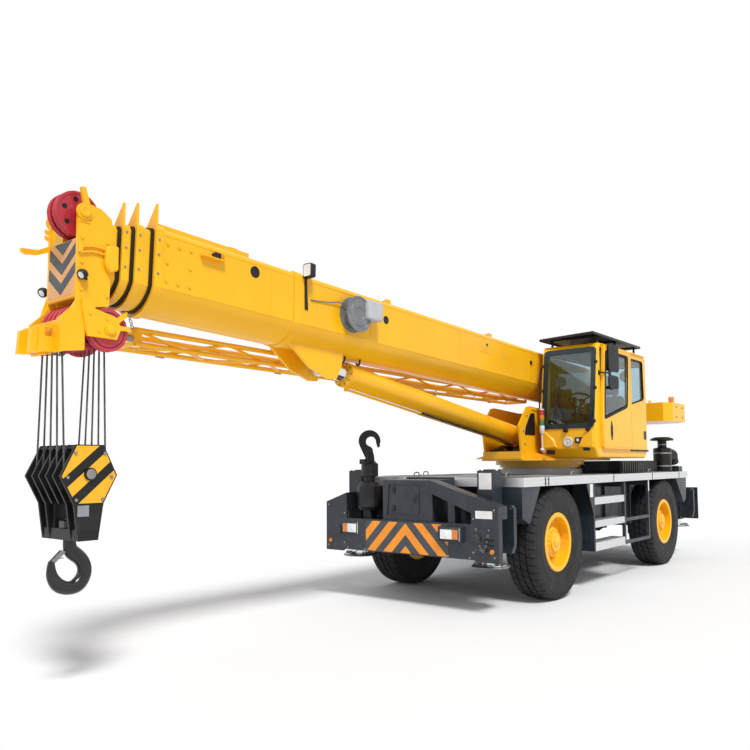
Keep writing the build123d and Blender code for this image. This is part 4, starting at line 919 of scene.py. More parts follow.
def cab_front():
    """Relief under the windscreen, wipers, clips, the round horn plate, small boxes and pads."""
    yellow = []
    # side cheeks that stand out under the screen, sloped towards the flat middle panel
    face = 0.690
    for side in (-1, 1):
        outline = ((0.385, 1.835), (0.385, 2.085), (0.345, 2.090), (0.20, 1.965), (0.150, 1.840))
        outline = [(cab_mid + side * out, z) for out, z in outline]
        cheek = plate(outline, "X", face - 0.004, face + 0.032, 0.016)
        for vertex in cheek.data.vertices:
            vertex.co.x += (vertex.co.z - 1.83) * 0.03
        yellow.append(cheek)
    gather("cab_front_relief", yellow, "yellow_paint", "turntable", angle=25)
    black = wiper(cab_mid - 0.02, 2.085, cab_mid - 0.17, 2.46, 0.50)
    black += wiper(cab_y1 - 0.10, 2.09, cab_y1 - 0.055, 2.34, 0.30)
    for z in (2.20, 2.66, 3.02):
        for y in (cab_y0 + 0.022, cab_y1 - 0.022):
            x = screen_x(z)
            black.append(block((x - 0.03, y - 0.020, z - 0.022), (x + 0.012, y + 0.020, z + 0.022), 0.006))
    for y0, y1, z0, z1 in ((0.47, 0.58, 1.755, 1.815), (1.02, 1.11, 1.80, 1.87)):
        black.append(block((0.66, y0, z0), (0.712, y1, z1), 0.006))
    black.append(block((0.69, 0.905, 1.905), (0.722, 1.035, 1.985), 0.008))
    gather("cab_front_fittings", black, "moulded_black", "turntable")
    rings = [(0, 0), (0.070, 0), (0.070, 0.012), (0.052, 0.018),
             (0.046, 0.010), (0.018, 0.010), (0.014, 0.020), (0, 0.020)]
    horn = turned(rings, (0.693, cab_mid + 0.005, 1.925), (1, 0, 0), 32)
    dial = disc((0.7215, 0.950, 1.945), (1, 0, 0), 0.022, 0.006, 20, ((0.2, 0.002),))
    gather("cab_horn", [horn, dial], "light_grey", "turntable")


def cab_sides():
    """Blank plate, sill rail and gutter of the door's side, grab bar opposite, and the door's handle."""
    # the sliding door passes over this side: the blank plate is flush, the rails lie beyond the door's edges
    black = [block((-1.255, cab_y1 - 0.002, 1.985), (-1.135, cab_y1 + 0.00022, 2.115), 0.0001),
             block((-1.285, cab_y1 - 0.002, 1.800), (-0.58, cab_y1 + 0.020, 1.826), 0.003)]
    gather("cab_side_plates", black, "satin_black", "turntable")
    gutter = block((-1.20, cab_y1 - 0.002, 3.268), (0.47, cab_y1 + 0.022, 3.286), 0.004)
    gather("door_rail", [gutter], "yellow_paint", "turntable")
    y = cab_y0 - 0.035
    bar = pipe([(0.575, y + 0.03, 3.02), (0.60, y, 3.02), (0.675, y, 2.30), (0.655, y + 0.03, 2.28)], 0.011)
    gather("cab_grab_bars", [bar], "satin_black", "turntable")
    # door: handle plate with its pull, and a darker yellow line round the panel, painted shade standing for
    # the groove
    lozenge = [(0.213, 1.945), (0.184, 2.03), (0.184, 2.13), (0.213, 2.215),
               (0.243, 2.215), (0.272, 2.13), (0.272, 2.03), (0.243, 1.945)]
    handle = [plate(lozenge, "Y", door_face - 0.006, door_face + 0.001, 0.001),
              block((0.217, door_face, 2.00), (0.237, door_face + 0.004, 2.16), 0.002)]
    gather("door_handle", handle, "moulded_black", "cab_door")
    groove = band([(0.505, 1.85), (0.49, 2.20), (0.42, 3.24), (-0.55, 3.24), (-0.545, 1.85)], "Y",
                  door_face - 0.001, door_face + 0.002, 0.006, 0.03)
    gather("door_groove_shade", [groove], "groove_shade_paint", "cab_door")


def cushion(low, high, axis, way, channels):
    """Crowned pad: its face swells, its sides pull in between the corners, sewn channels cross it."""
    begin()
    bpy.ops.mesh.primitive_cube_add(size=2, location=(0, 0, 0))
    piece = bpy.context.object
    edit()
    bpy.ops.mesh.bevel(offset=0.30, segments=4, affect="EDGES")
    bpy.ops.mesh.select_all(action="SELECT")
    bpy.ops.mesh.subdivide(number_cuts=8)
    leave()
    low, high = Vector(low), Vector(high)
    half = (high - low) / 2
    across_axes = [a for a in range(3) if a != axis]
    for vertex in piece.data.vertices:
        p = vertex.co.copy()
        u, v = (p[a] for a in across_axes)
        crown = 0.72 + 0.28 * (1 - u ** 4) * (1 - v ** 4)
        if p[axis] * way > 0:
            groove = sum(0.16 * max(0.0, 1 - abs(u - c) / 0.07) for c in channels)
            p[axis] *= crown - groove
        for a, other in zip(across_axes, reversed(across_axes)):
            p[a] *= 1 - 0.035 * (1 - vertex.co[other] ** 2)
        vertex.co = Vector([p[a] * half[a] for a in range(3)]) + (low + high) / 2
    return piece


def cab_inside():
    """Seat cushions with seams, steering column and wheel, levers, pedals, screens and a floor mat."""
    floor = 1.75
    y = cab_mid
    hinge = shifted(-0.80, 0, 2.13)
    lean_back = hinge @ Matrix.Rotation(radians(-7), 4, "Y") @ hinge.inverted()
    pads = [
        # name, corners, axis that it swells along and which way, lean, sewn channels
        ("seat_cushion", (-0.80, y - 0.238, 2.072), (-0.30, y + 0.238, 2.188), 2, 1, shifted(),
         (-0.45, 0.45)),
        ("seat_back", (-0.80, y - 0.232, 2.13), (-0.70, y + 0.232, 2.66), 0, 1, lean_back, (-0.45, 0.45)),
        ("seat_headrest", (-0.795, y - 0.14, 2.675), (-0.715, y + 0.14, 2.82), 0, 1, lean_back, ()),
    ]
    for name, low, high, axis, way, move, channels in pads:
        pad = cushion(low, high, axis, way, channels)
        pad.data.transform(move)
        gather(name, [pad], "seat_trim", "turntable", angle=60)
    base = [block((-0.76, y - 0.19, 1.7505), (-0.42, y + 0.19, 2.068), 0.02, 2),
            block((-0.79, y - 0.225, 2.045), (-0.33, y + 0.225, 2.071), 0.006)]
    dash = plate([(0.33, 1.75), (0.56, 1.75), (0.59, 2.13), (0.40, 2.27), (0.33, 2.17)], "Y",
                 y - 0.30, y + 0.30, 0.018)
    cover = gather("seat_base", base + [dash], "moulded_black", "turntable")
    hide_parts("cab_seat")
    column = pipe([(0.42, y, floor + 0.40), (0.32, y, floor + 0.58), (0.20, y, floor + 0.76)], 0.028)
    lean = Vector((-0.55, 0, 0.84))
    rim = turned([(0.172, -0.011), (0.190, -0.011), (0.196, 0), (0.190, 0.011), (0.172, 0.011), (0.166, 0)],
                 (0.19, y, floor + 0.775), lean, 40)
    boss = turned([(0, 0), (0.045, 0), (0.045, 0.02), (0.030, 0.032), (0, 0.032)],
                  (0.19, y, floor + 0.765), lean, 20)
    black = [column, rim, boss]
    along = Vector((0, 1, 0))
    up = lean.normalized().cross(along)
    centre = Vector((0.19, y, floor + 0.775))
    for turn in (pi / 2, pi * 7 / 6, pi * 11 / 6):
        spoke = (up * sin(turn) + along * cos(turn)) * 0.178
        black.append(pipe([centre, centre + spoke], 0.010, False))
    for side in (-1, 1):
        # arm rest, joystick with its grip, pedal
        arm, foot = y + side * 0.31, y + side * 0.13
        black.append(block((-0.62, arm - 0.055, floor + 0.56), (-0.20, arm + 0.055, floor + 0.64), 0.02, 2))
        black.append(pipe([(-0.26, arm, floor + 0.63), (-0.25, arm, floor + 0.80)], 0.012, False))
        black.append(block((-0.285, arm - 0.028, floor + 0.78), (-0.215, arm + 0.028, floor + 0.88),
                           0.02, 2))
        black.append(block((0.18, foot - 0.045, floor + 0.05), (0.26, foot + 0.045, floor + 0.16), 0.008))
    # screen, dash top, floor mat, rear lining
    black.append(block((0.36, y + 0.14, floor + 0.54), (0.40, y + 0.36, floor + 0.72), 0.012))
    black.append(block((0.34, y - 0.38, floor + 0.40), (0.56, y + 0.38, floor + 0.50), 0.03, 2))
    black.append(block((-1.22, cab_y0 + 0.06, floor + 0.001), (0.52, cab_y1 - 0.06, floor + 0.012), 0.003))
    black.append(block((-1.22, cab_y0 + 0.055, floor + 0.02), (-0.95, cab_y1 - 0.075, floor + 0.72),
                       0.02, 2))
    gather("cab_controls", black, "moulded_black", "turntable")
    grey = [block((-1.20, cab_y0 + 0.06, 3.205), (0.44, cab_y1 - 0.06, 3.243), 0.01),
            block((-1.22, cab_y0 + 0.045, 1.765), (0.50, cab_y0 + 0.055, 2.44), 0.003)]
    gather("cab_headliner", grey, "plate_grey", "turntable")
    fan = turned([(0, 0), (0.085, 0), (0.085, 0.05), (0.07, 0.06), (0, 0.06)],
                 (-1.12, cab_y1 - 0.25, 2.98), (1, 0, 0), 28)
    gather("cab_fan", [fan], "light_grey", "turntable")


def mirrors():
    """Ribbed black mirror housings on their folded arm, and the amber beacon on its foot behind the cab."""
    y0, y1 = door_face + 0.006, 1.278
    shells = []
    for x0, x1, z0, z1, ribs in ((-0.02, 0.35, 2.912, 3.300, 9), (0.0, 0.34, 2.670, 2.858, 4)):
        outline = [(x0, z0), (x1, z0), (x1, z1), (x0, z1)]
        shells.append(plate(outline, "Y", y0 + 0.001, y1 - 0.005, 0.006, 0.05))
        for i in range(ribs):
            z = z0 + (z1 - z0) * (i + 1.3) / (ribs + 1.6)
            shells.append(block((x0 + 0.06, y1 - 0.006, z - 0.004),
                                (x1 - 0.06, y1 - 0.0005, z + 0.004), 0.0025))
    y = (y0 + y1) / 2
    shells.append(pipe([(0.531, cab_y1 + 0.011, 2.87), (0.531, y - 0.010, 2.87), (0.52, y, 2.87),
                        (0.33, y, 2.88)], 0.011))
    shells.append(block((0.500, cab_y1 - 0.001, 2.837), (0.562, cab_y1 + 0.011, 2.903), 0.004))
    shells.append(block((0.272, y0 + 0.005, 2.850), (0.338, y1 - 0.005, 2.918), 0.006))
    beacon_x, beacon_y = -2.8, 1.11
    glass = turned([(0, 0), (0.047, 0), (0.047, 0.085), (0.040, 0.100), (0.02, 0.106), (0, 0.106)],
                   (beacon_x, beacon_y, 2.664), sides=24)
    foot = turned([(0, 0), (0.061, 0), (0.061, 0.017), (0.05, 0.0235), (0, 0.0235)],
                  (beacon_x, beacon_y, 2.6405), sides=24)
    cover = gather("mirror_housings", shells + [foot], "moulded_black", "turntable", angle=30)
    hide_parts("mirror_and_beacon")
    gather("beacon_lens", [glass], "amber_lens", "turntable")


def signal_tower():
    """Load signal lamps on their post in front of the cab, from the foot up: white, green, amber and red."""
    x, y = 0.765, 0.440
    post = [pipe([(0.690, y, 1.80), (x, y, 1.80), (x, y, 2.06)], 0.013, False),
            turned([(0, 0), (0.034, 0), (0.034, 0.010), (0.020, 0.030), (0, 0.030)], (x, y, 1.815),
                   sides=20),
            turned([(0, 0), (0.022, 0), (0.037, 0.030), (0.037, 0.045), (0, 0.045)], (x, y, 2.045),
                   sides=24),
            turned([(0, 0), (0.037, 0), (0.037, 0.010), (0.020, 0.018), (0, 0.018)], (x, y, 2.382),
                   sides=24)]
    gather("signal_post", post, "light_grey", "turntable")
    for i, colour in enumerate(("plate_white", "green_lens", "amber_lens", "red_lens")):
        lens = turned([(0, 0), (0.0345, 0), (0.036, 0.004), (0.036, 0.066), (0.0345, 0.070), (0, 0.070)],
                      (x, y, 2.091 + i * 0.073), (0, 0, 1), 24)
        gather("signal_" + colour, [lens], colour, "turntable")


def sun_shade():
    """Folded sheet shade with a rolled rim and its posts."""
    outline = [(-1.088, 0.323), (0.558, 0.323), (0.717, 1.208), (-1.088, 1.208)]
    top = plate(outline, "Z", 3.412, 3.425, 0.003)
    rim = band(outline, "Z", 3.390, 3.413, 0.012, 0.004)
    ribs = [block((x - 0.02, 0.34, 3.396), (x + 0.02, 1.195, 3.413), 0.004) for x in (-1.02, -0.27, 0.41)]
    posts = []
    for x in (-1.04, -0.28, 0.40):
        for y in (cab_y0 + 0.06, cab_y1 - 0.09):
            posts.append(block((x, y, 3.3003), (x + 0.026, y + 0.026, 3.40), 0.003))
            posts.append(block((x - 0.02, y - 0.012, 3.3003), (x + 0.046, y + 0.038, 3.308), 0.002))
    cover = gather("shade_sheet", [top, rim] + ribs + posts, "black_paint", "turntable")
    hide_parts("roof_shade")


# Boom, drawn in its own frame: foot pin at the origin, +X along the boom

base_half, base_up, base_low = 0.269, 0.247, -0.234
boom_length = 8.676
head_x, head_z = boom_length + 0.592, -0.496


def levelled(dx, dz):
    """A level and a plumb distance as distances along and across the boom."""
    return dx * cos(boom_angle) + dz * sin(boom_angle), dz * cos(boom_angle) - dx * sin(boom_angle)


def on_head(dx, dz):
    """Level and plumb distance from the head's lower front corner, in the boom's frame."""
    along, up = levelled(dx, dz)
    return head_x + along, head_z + up


def on_boom(x, z):
    """X, Z from the slewing axis at rest, in the boom's frame."""
    return levelled(x - boom_pin[0], z - boom_pin[1])


def bolt(centre, way, radius=0.011, height=0.009):
    return disc(centre, way, radius, height, 6, ((0.25, 0.0015),))


def boom_sides():
    """Seams, bolt rows, flush black discs of painted shade for the inspection holes, pad adjusters and blank
    plates along the base section.
    """
    yellow, dark = [], []
    for side in (-1, 1):
        face = side * base_half
        y0, y1 = outward(side, base_half, 0.003)
        # long weld seams at the bends, then the upright ones
        for z in (0.195, -0.228):
            yellow.append(block((0.1, y0, z - 0.006), (8.58, y1, z + 0.006), 0.0014))
        for x in (0.75, 2.55, 4.35, 6.05, 7.45):
            yellow.append(block((x - 0.0045, y0, -0.21), (x + 0.0045, y1, 0.185), 0.0014))
        way = (0, side, 0)
        for x in (8.34, 8.45, 8.56):
            for z in (0.13, -0.02, -0.17):
                if x != 8.45 or z != -0.02:
                    yellow.append(bolt((x, face, z), way, 0.014, 0.010))
        # inspection holes drawn as flush black discs: painted shade for their dark insides
        for x, z, r in ((7.655, 0.123, 0.052), (5.798, 0.042, 0.044), (2.479, 0.045, 0.036),
                        (3.693, 0.109, 0.020)):
            ring = [(0, 0), (r, 0), (r, 0.004), (r * 0.8, 0.006), (r * 0.75, 0.002), (0, 0.002)]
            dark.append(turned(ring, (x, face - side * 0.0005, z), way, 28))
        # rope guide bracket near the mouth
        low, high = outward(side, base_half, 0.055)
        yellow.append(block((8.02, low, 0.112), (8.25, high, 0.124), 0.003))
        yellow.append(block((8.02, low, 0.124), (8.035, high, 0.175), 0.003))
        # black block inside the bracket: painted shadow in its hollow
        dark.append(block((8.07, low, 0.1245), (8.13, high, 0.170), 0.004))
        yellow.append(disc((0, side * (base_half + 0.0055), 0), way, 0.10, 0.0005, 36, ((0.2, 0.0),)))
    # hooks under the boom that stow the sling
    for x in (6.02, 6.26):
        bend = [(0, -0.40), (0, -0.455), (0.03, -0.485), (0.06, -0.46)]
        dark.append(pipe([(x + dx, 0.10, z) for dx, z in bend], 0.010))
    gather("boom_seams", yellow, "yellow_paint", "boom_base", boom_place)
    gather("boom_hooks_and_painted_shade", dark, "satin_black", "boom_base", boom_place)
    plates = [block((3.55, base_half - 0.0005, 0.00), (3.87, base_half + 0.0025, 0.10), 0.001),
              block((3.10, base_half - 0.0005, 0.01), (3.30, base_half + 0.0025, 0.09), 0.001)]
    gather("boom_plates", plates, "yellow_shade", "boom_base", boom_place)


def boom_top():
    """Rope guide rollers, bracing strips and the oil line along the boom's top."""
    steel, yellow = [], []
    spool = [(0, -0.118), (0.030, -0.118), (0.030, -0.108), (0.022, -0.100),
             (0.022, 0.100), (0.030, 0.108), (0.030, 0.118), (0, 0.118)]
    for x in (1.2, 3.4, 5.6, 7.8):
        yellow += [block((x - 0.05, s * 0.13 - 0.008, base_up - 0.001),
                         (x + 0.05, s * 0.13 + 0.008, base_up + 0.085), 0.004)
                   for s in (-1, 1)]
        steel.append(turned(spool, (x, 0, base_up + 0.055), (0, 1, 0), 20))
    for y in (-0.205, -0.225):
        steel.append(pipe([(0.4, y, base_up + 0.012), (8.5, y, base_up + 0.012)], 0.009, False))
    for x in (0.6, 2.4, 4.2, 6.0, 7.8):
        yellow.append(block((x - 0.02, -0.242, base_up - 0.001),
                            (x + 0.02, -0.188, base_up + 0.026), 0.004))
    gather("boom_rollers", steel, "bare_steel", "boom_base", boom_place)
    gather("boom_roller_brackets", yellow, "yellow_paint", "boom_base", boom_place)


def section_outline(k, grow):
    """Y, Z round boom section k, grown outwards: flat top, straight sides, rounded underside."""
    d = k * 0.025 - grow
    half, up, deep, r = base_half - d, base_up - d, 0.195 - d, 0.045
    side = [(half - r, up), (half - 0.3 * r, up - 0.3 * r), (half, up - r), (half, base_low)]
    radius = (half * half + deep * deep) / (2 * deep)
    middle_z = base_low - deep + radius
    reach = atan2(half, middle_z - base_low)
    under = []
    for i in range(1, 16):
        a = reach * (1 - i / 8)
        under.append((radius * sin(a), middle_z - radius * cos(a)))
    return side + under + [(-y, z) for y, z in reversed(side)]


def section_marks():
    """Screws on each mouth's collar and on the head, and a black ring round the next section at each mouth:
    painted shade in the gap between the collars.
    """
    sections = [
        # body, its number, X of its front end, how proud the collar stands
        ("boom_base", 0, boom_length, 0.016), ("boom_section_2", 1, boom_length + 0.15, 0.012),
        ("boom_section_3", 2, boom_length + 0.25, 0.012), ("boom_section_4", 3, boom_length + 0.35, 0.012),
    ]
    for body, k, x, proud in sections:
        half, up = base_half - k * 0.025 + proud, base_up - k * 0.025 + proud
        last = body == "boom_section_4"
        parts = []
        if not last:
            for side in (-1, 1):
                for z in (0.14, 0.02, -0.13):
                    parts.append(bolt((x - 0.030, side * half, z), (0, side, 0), 0.010, 0.007))
        for y in (-0.10, 0.10):
            parts.append(bolt((x - 0.030, y, up), (0, 0, 1), 0.010, 0.007))
        gather("collar_screws_" + body, parts, "bare_steel", body, boom_place)
        if not last:
            # black ring at the mouth: painted shade in the gap round the next section
            ring = band(section_outline(k + 1, 0.013), "X", x - 0.0005, x + 0.026, 0.012, 0)
            gather("mouth_shade_ring_" + body, [ring], "satin_black", body, boom_place)


def head_dress():
    """Chevron plate, lamps, bolts, pins with keepers, brackets, sheave rims and a chain on the head."""
    head_in, head_out = 0.190, 0.216
    top_axle, low_axle, guide_axle = (-0.062, 0.692), (-0.125, -0.130), (-0.268, -0.149)
    front = head_x - 0.008
    z0, z1 = head_z + 0.08, head_z + 0.495
    # ground of the chevron plate: yellow paint darkened to dull beige orange, painted shade on the forward
    # face of the head
    orange = block((front - 0.0005, -head_in, z0), (front + 0.002, head_in, z1), 0.0008)
    gather("head_front_painted_shade", [orange], "yellow_in_painted_shade", "boom_section_4", boom_place)
    stripes = []
    for i in range(3):
        z = head_z + 0.10 + i * 0.15
        for side in (-1, 1):
            edge = side * head_in
            outline = [(0, z), (0, z + 0.085), (edge, z + 0.225), (edge, z + 0.14)]
            stripe = plate(outline, "X", front + 0.0015, front + 0.0035)
            clip_to(stripe, "Z", z0, z1)
            stripes.append(stripe)
    gather("head_chevrons", stripes, "dark_film", "boom_section_4", boom_place)
    yellow, steel = [], []
    for side in (-1, 1):
        way = (0, side, 0)
        x, z = on_head(*top_axle)
        yellow.append(disc((x, side * (head_out + 0.014), z), way, 0.042, 0.012, 24,
                           ((0.3, 0.004), (0.2, -0.004))))
        x, z = on_head(*guide_axle)
        yellow.append(disc((x, side * 0.251, z), way, 0.034, 0.012, 24, ((0.3, 0.004),)))
        for dx, dz in ((-0.25, 0.10), (-0.25, 0.30), (-0.25, 0.50),
                       (-0.05, 0.12), (-0.05, 0.32), (-0.05, 0.50)):
            x, z = on_head(dx, dz)
            yellow.append(bolt((x, side * head_out, z), way, 0.012, 0.009))
        for dx, dz in ((-0.11, -0.05), (-0.18, -0.17), (-0.24, -0.07), (-0.30, -0.17)):
            x, z = on_head(dx, dz)
            yellow.append(bolt((x, side * (head_out + 0.023), z), way, 0.011, 0.008))
        # keeper plates of the pins
        for dx, dz, y in ((-0.062, 0.625, head_out), (-0.268, -0.205, head_out + 0.023)):
            x, z = on_head(dx, dz)
            low, high = outward(side, y, 0.006)
            yellow.append(block((x - 0.045, low, z - 0.012), (x + 0.045, high, z + 0.012), 0.002))
    # raised cover behind the near side plate
    cover = [(-0.225, 0.470), (-0.322, 0.485), (-0.322, 0.300), (-0.250, 0.270), (-0.215, 0.33)]
    cover = [on_head(dx, dz) for dx, dz in cover]
    yellow.append(plate(cover, "Y", head_out - 0.001, head_out + 0.046, 0.012))
    # pipes and small brackets on the near side plate
    for dz in (0.44, 0.40):
        bend = [on_head(-0.24, dz), on_head(-0.14, dz + 0.03), on_head(-0.03, dz - 0.02)]
        yellow.append(pipe([(x, head_out + 0.012, z) for x, z in bend], 0.008))
    for dx in (-0.235, -0.035):
        x, z = on_head(dx, 0.42)
        yellow.append(block((x - 0.014, head_out - 0.001, z - 0.035),
                            (x + 0.014, head_out + 0.024, z + 0.035), 0.003))
    gather("head_pins", yellow, "yellow_paint", "boom_section_4", boom_place)
    lamps, lens = [], []
    shell = [(0, 0), (0.016, 0.002), (0.030, 0.012), (0.038, 0.030), (0.039, 0.045),
             (0.034, 0.058), (0.028, 0.058), (0.026, 0.050), (0, 0.050)]
    for y, dx, dz in ((0.250, -0.042, 0.222), (-0.300, -0.030, 0.170)):
        x, z = on_head(dx, dz)
        way = Vector((0.80, 0.20, -0.56)).normalized()
        back = Vector((x, y, z)) - way * 0.035
        lamps.append(turned(shell, back, way, 24))
        arm = [(x - 0.05, y * 0.864, z - 0.02), (x - 0.03, y, z - 0.03), (x - 0.020, y, z)]
        lamps.append(pipe(arm, 0.008))
        lens.append(turned([(0, 0), (0.027, 0), (0.025, 0.005), (0.012, 0.009), (0, 0.010)],
                           back + way * 0.051, way, 24))
    gather("head_lamps", lamps, "satin_black", "boom_section_4", boom_place)
    gather("head_lamp_glass", lens, "lamp_lens", "boom_section_4", boom_place)
    # rope guards: three bent rods under the guide sheaves, and the chain that ties the jib pin
    for i in range(3):
        bend = ((-0.02 + i * 0.03, -0.335), (i * 0.03, -0.365), (0.04 + i * 0.02, -0.350))
        bend = [on_head(dx, dz) for dx, dz in bend]
        steel.append(pipe([(x, 0.07, z) for x, z in bend], 0.007))
    for k in range(6):
        x, z = on_head(-0.418 - k * 0.007, -0.02 - k * 0.022)
        link = turned([(0.010, -0.003), (0.014, -0.003), (0.014, 0.003), (0.010, 0.003)], (x, 0.247, z),
                      (1, 0, 0) if k % 2 else (0, 1, 0), 12)
        steel.append(link)
    gather("head_rods", steel, "bare_steel", "boom_section_4", boom_place)
    red, hole_shades = [], []
    rows = [
        # axle's place from the head's corner, Y of the outer faces
        (top_axle, (0.130, 0.006)), (low_axle, (0.154, -0.154)),
    ]
    rim, hole_ring, ring_holes = 0.171, 0.110, 6
    for axle, faces in rows:
        x, z = on_head(*axle)
        for y in faces:
            side = 1 if y > 0.01 else -1
            way = (0, side, 0)
            red.append(turned([(rim - 0.026, 0), (rim, 0), (rim - 0.002, 0.004), (rim - 0.022, 0.004)],
                              (x, y, z), way, 48))
            red.append(turned([(0.036, 0), (0.074, 0), (0.070, 0.008), (0.036, 0.008)], (x, y, z), way, 32))
            # black discs in the sheaves' holes: painted shade for what lies dark behind them
            for k in range(ring_holes):
                a = 2 * pi * k / ring_holes + 0.3
                centre = (x + hole_ring * cos(a), y, z + hole_ring * sin(a))
                hole_shades.append(disc(centre, way, 0.020, 0.001, 16, ((0.2, 0.0),)))
    # thin black ring on each side plate round the guide sheave: painted shade
    for side in (-1, 1):
        x, z = on_head(*guide_axle)
        hole_shades.append(turned([(0.128, 0), (0.136, 0), (0.136, 0.0006), (0.128, 0.0006)],
                            (x, side * 0.214, z), (0, side, 0), 48))
    gather("sheave_rims", red, "red_paint", "boom_section_4", boom_place)
    gather("sheave_hole_shade", hole_shades, "satin_black", "boom_section_4", boom_place)


def reel():
    """Cable reel with ringed flanges, its plastic cover box and the cable to the boom's top."""
    x, z = on_boom(4.60, 3.16)
    y = base_half
    profile = [(0, 0.0005), (0.184, 0.0005), (0.184, 0.012), (0.172, 0.016), (0.122, 0.018),
               (0.122, 0.086), (0.172, 0.090), (0.184, 0.096), (0.184, 0.1085), (0.165, 0.1085),
               (0.160, 0.103), (0.128, 0.103), (0.122, 0.1085), (0.070, 0.1085), (0.064, 0.102), (0, 0.102)]
    dark = [turned(profile, (x, y, z), (0, 1, 0), 48)]
    spoke = block((0.07, y + 0.1005, -0.010), (0.155, y + 0.1075, 0.010), 0.002)
    for turned_spoke in all_round(spoke, 6):
        turned_spoke.data.transform(shifted(x, 0, z))
        dark.append(turned_spoke)
    discard(spoke)
    cable = [(0.10, 0.05, 0.05), (0.20, 0.03, 0.10), (0.33, 0.01, 0.055), (0.60, 0.008, 0.03)]
    dark.append(pipe([(x + dx, y + dy, z + dz) for dx, dy, dz in cable], 0.006))
    cover = gather("reel_drum", dark, "reel_grey", "boom_base", boom_place)
    box = [block((x - 0.329, y + 0.0005, z - 0.029), (x - 0.091, y + 0.1495, z + 0.169), 0.016, 2),
           block((x - 0.30, y + 0.10, z - 0.010), (x - 0.12, y + 0.1499, z + 0.150), 0.008)]
    for i in range(4):
        corner = (x - 0.31 + (i % 2) * 0.20, y + 0.147, z - 0.015 + (i // 2) * 0.17)
        box.append(disc(corner, (0, 1, 0), 0.008, 0.0025, 10))
    gather("reel_box", box, "grey_plastic", "boom_base", boom_place)
    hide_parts("cable_reel")


def flood_lamp():
    """Black flood lamp on the boom's side: ribbed back, bezel and pale lens facing forward."""
    x = on_boom(5.246, 3.470)[0]
    y = base_half
    z0, z1 = base_up - 0.040, base_up + 0.095
    z2 = base_up - 0.030
    stem = [(x - 0.022, -0.090), (x + 0.018, -0.090), (x + 0.034, z2), (x + 0.006, z2)]
    back = [(y + 0.004, z0), (y + 0.116, z0), (y + 0.116, z1), (y + 0.004, z1)]
    parts = [plate(stem, "Y", y + 0.0003, y + 0.011, 0.002),
             block((x + 0.006, y + 0.001, base_up - 0.042), (x + 0.034, y + 0.058, base_up - 0.0305),
                   0.002),
             plate(back, "X", x - 0.002, x + 0.061, 0.006, 0.02)]
    for i in range(5):
        fin_y = y + 0.022 + i * 0.018
        parts.append(block((x - 0.019, fin_y, z0 + 0.012), (x - 0.001, fin_y + 0.006, z1 - 0.012), 0.001))
    cover = gather("flood_lamp", parts, "satin_black", "boom_base", boom_place)
    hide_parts("work_lamp")
    pane = [(y + 0.014, z0 + 0.01), (y + 0.106, z0 + 0.01), (y + 0.106, z1 - 0.01), (y + 0.014, z1 - 0.01)]
    lens = plate(pane, "X", x + 0.0605, x + 0.062, 0.0005, 0.014)
    gather("flood_lens", [lens], "lamp_lens", "boom_base", boom_place)


def jib_dress():
    """Pin heads at the stowed jib's front end, and small plates along its outer lower tube."""
    y0, y1 = -base_half - 0.078, -base_half - 0.42
    low0, low1 = -0.384, -0.579
    x0, x1 = 1.5, boom_length - 0.256
    parts = []
    for y in (y0, y1):
        for side in (-1, 1):
            parts.append(disc((x1 + 0.055, y + side * 0.0125, low1 + 0.035), (0, side, 0), 0.030, 0.008, 20,
                              ((0.3, 0.003),)))
    for i in range(1, 14, 3):
        x = x0 + i * (x1 - x0) / 14
        z = low0 + (low1 - low0) * (x - x0) / (x1 - x0)
        parts.append(block((x - 0.05, y1 - 0.027, z - 0.03), (x + 0.05, y1 - 0.022, z + 0.03), 0.002))
    gather("jib_pins", parts, "bare_steel", "boom_base", boom_place)


# Carrier

deck_half, deck_top = 1.278, 1.474
step_x0, step_x1, rack_x0 = -0.120, 1.000, -1.090
arch_top = deck_top - 0.104


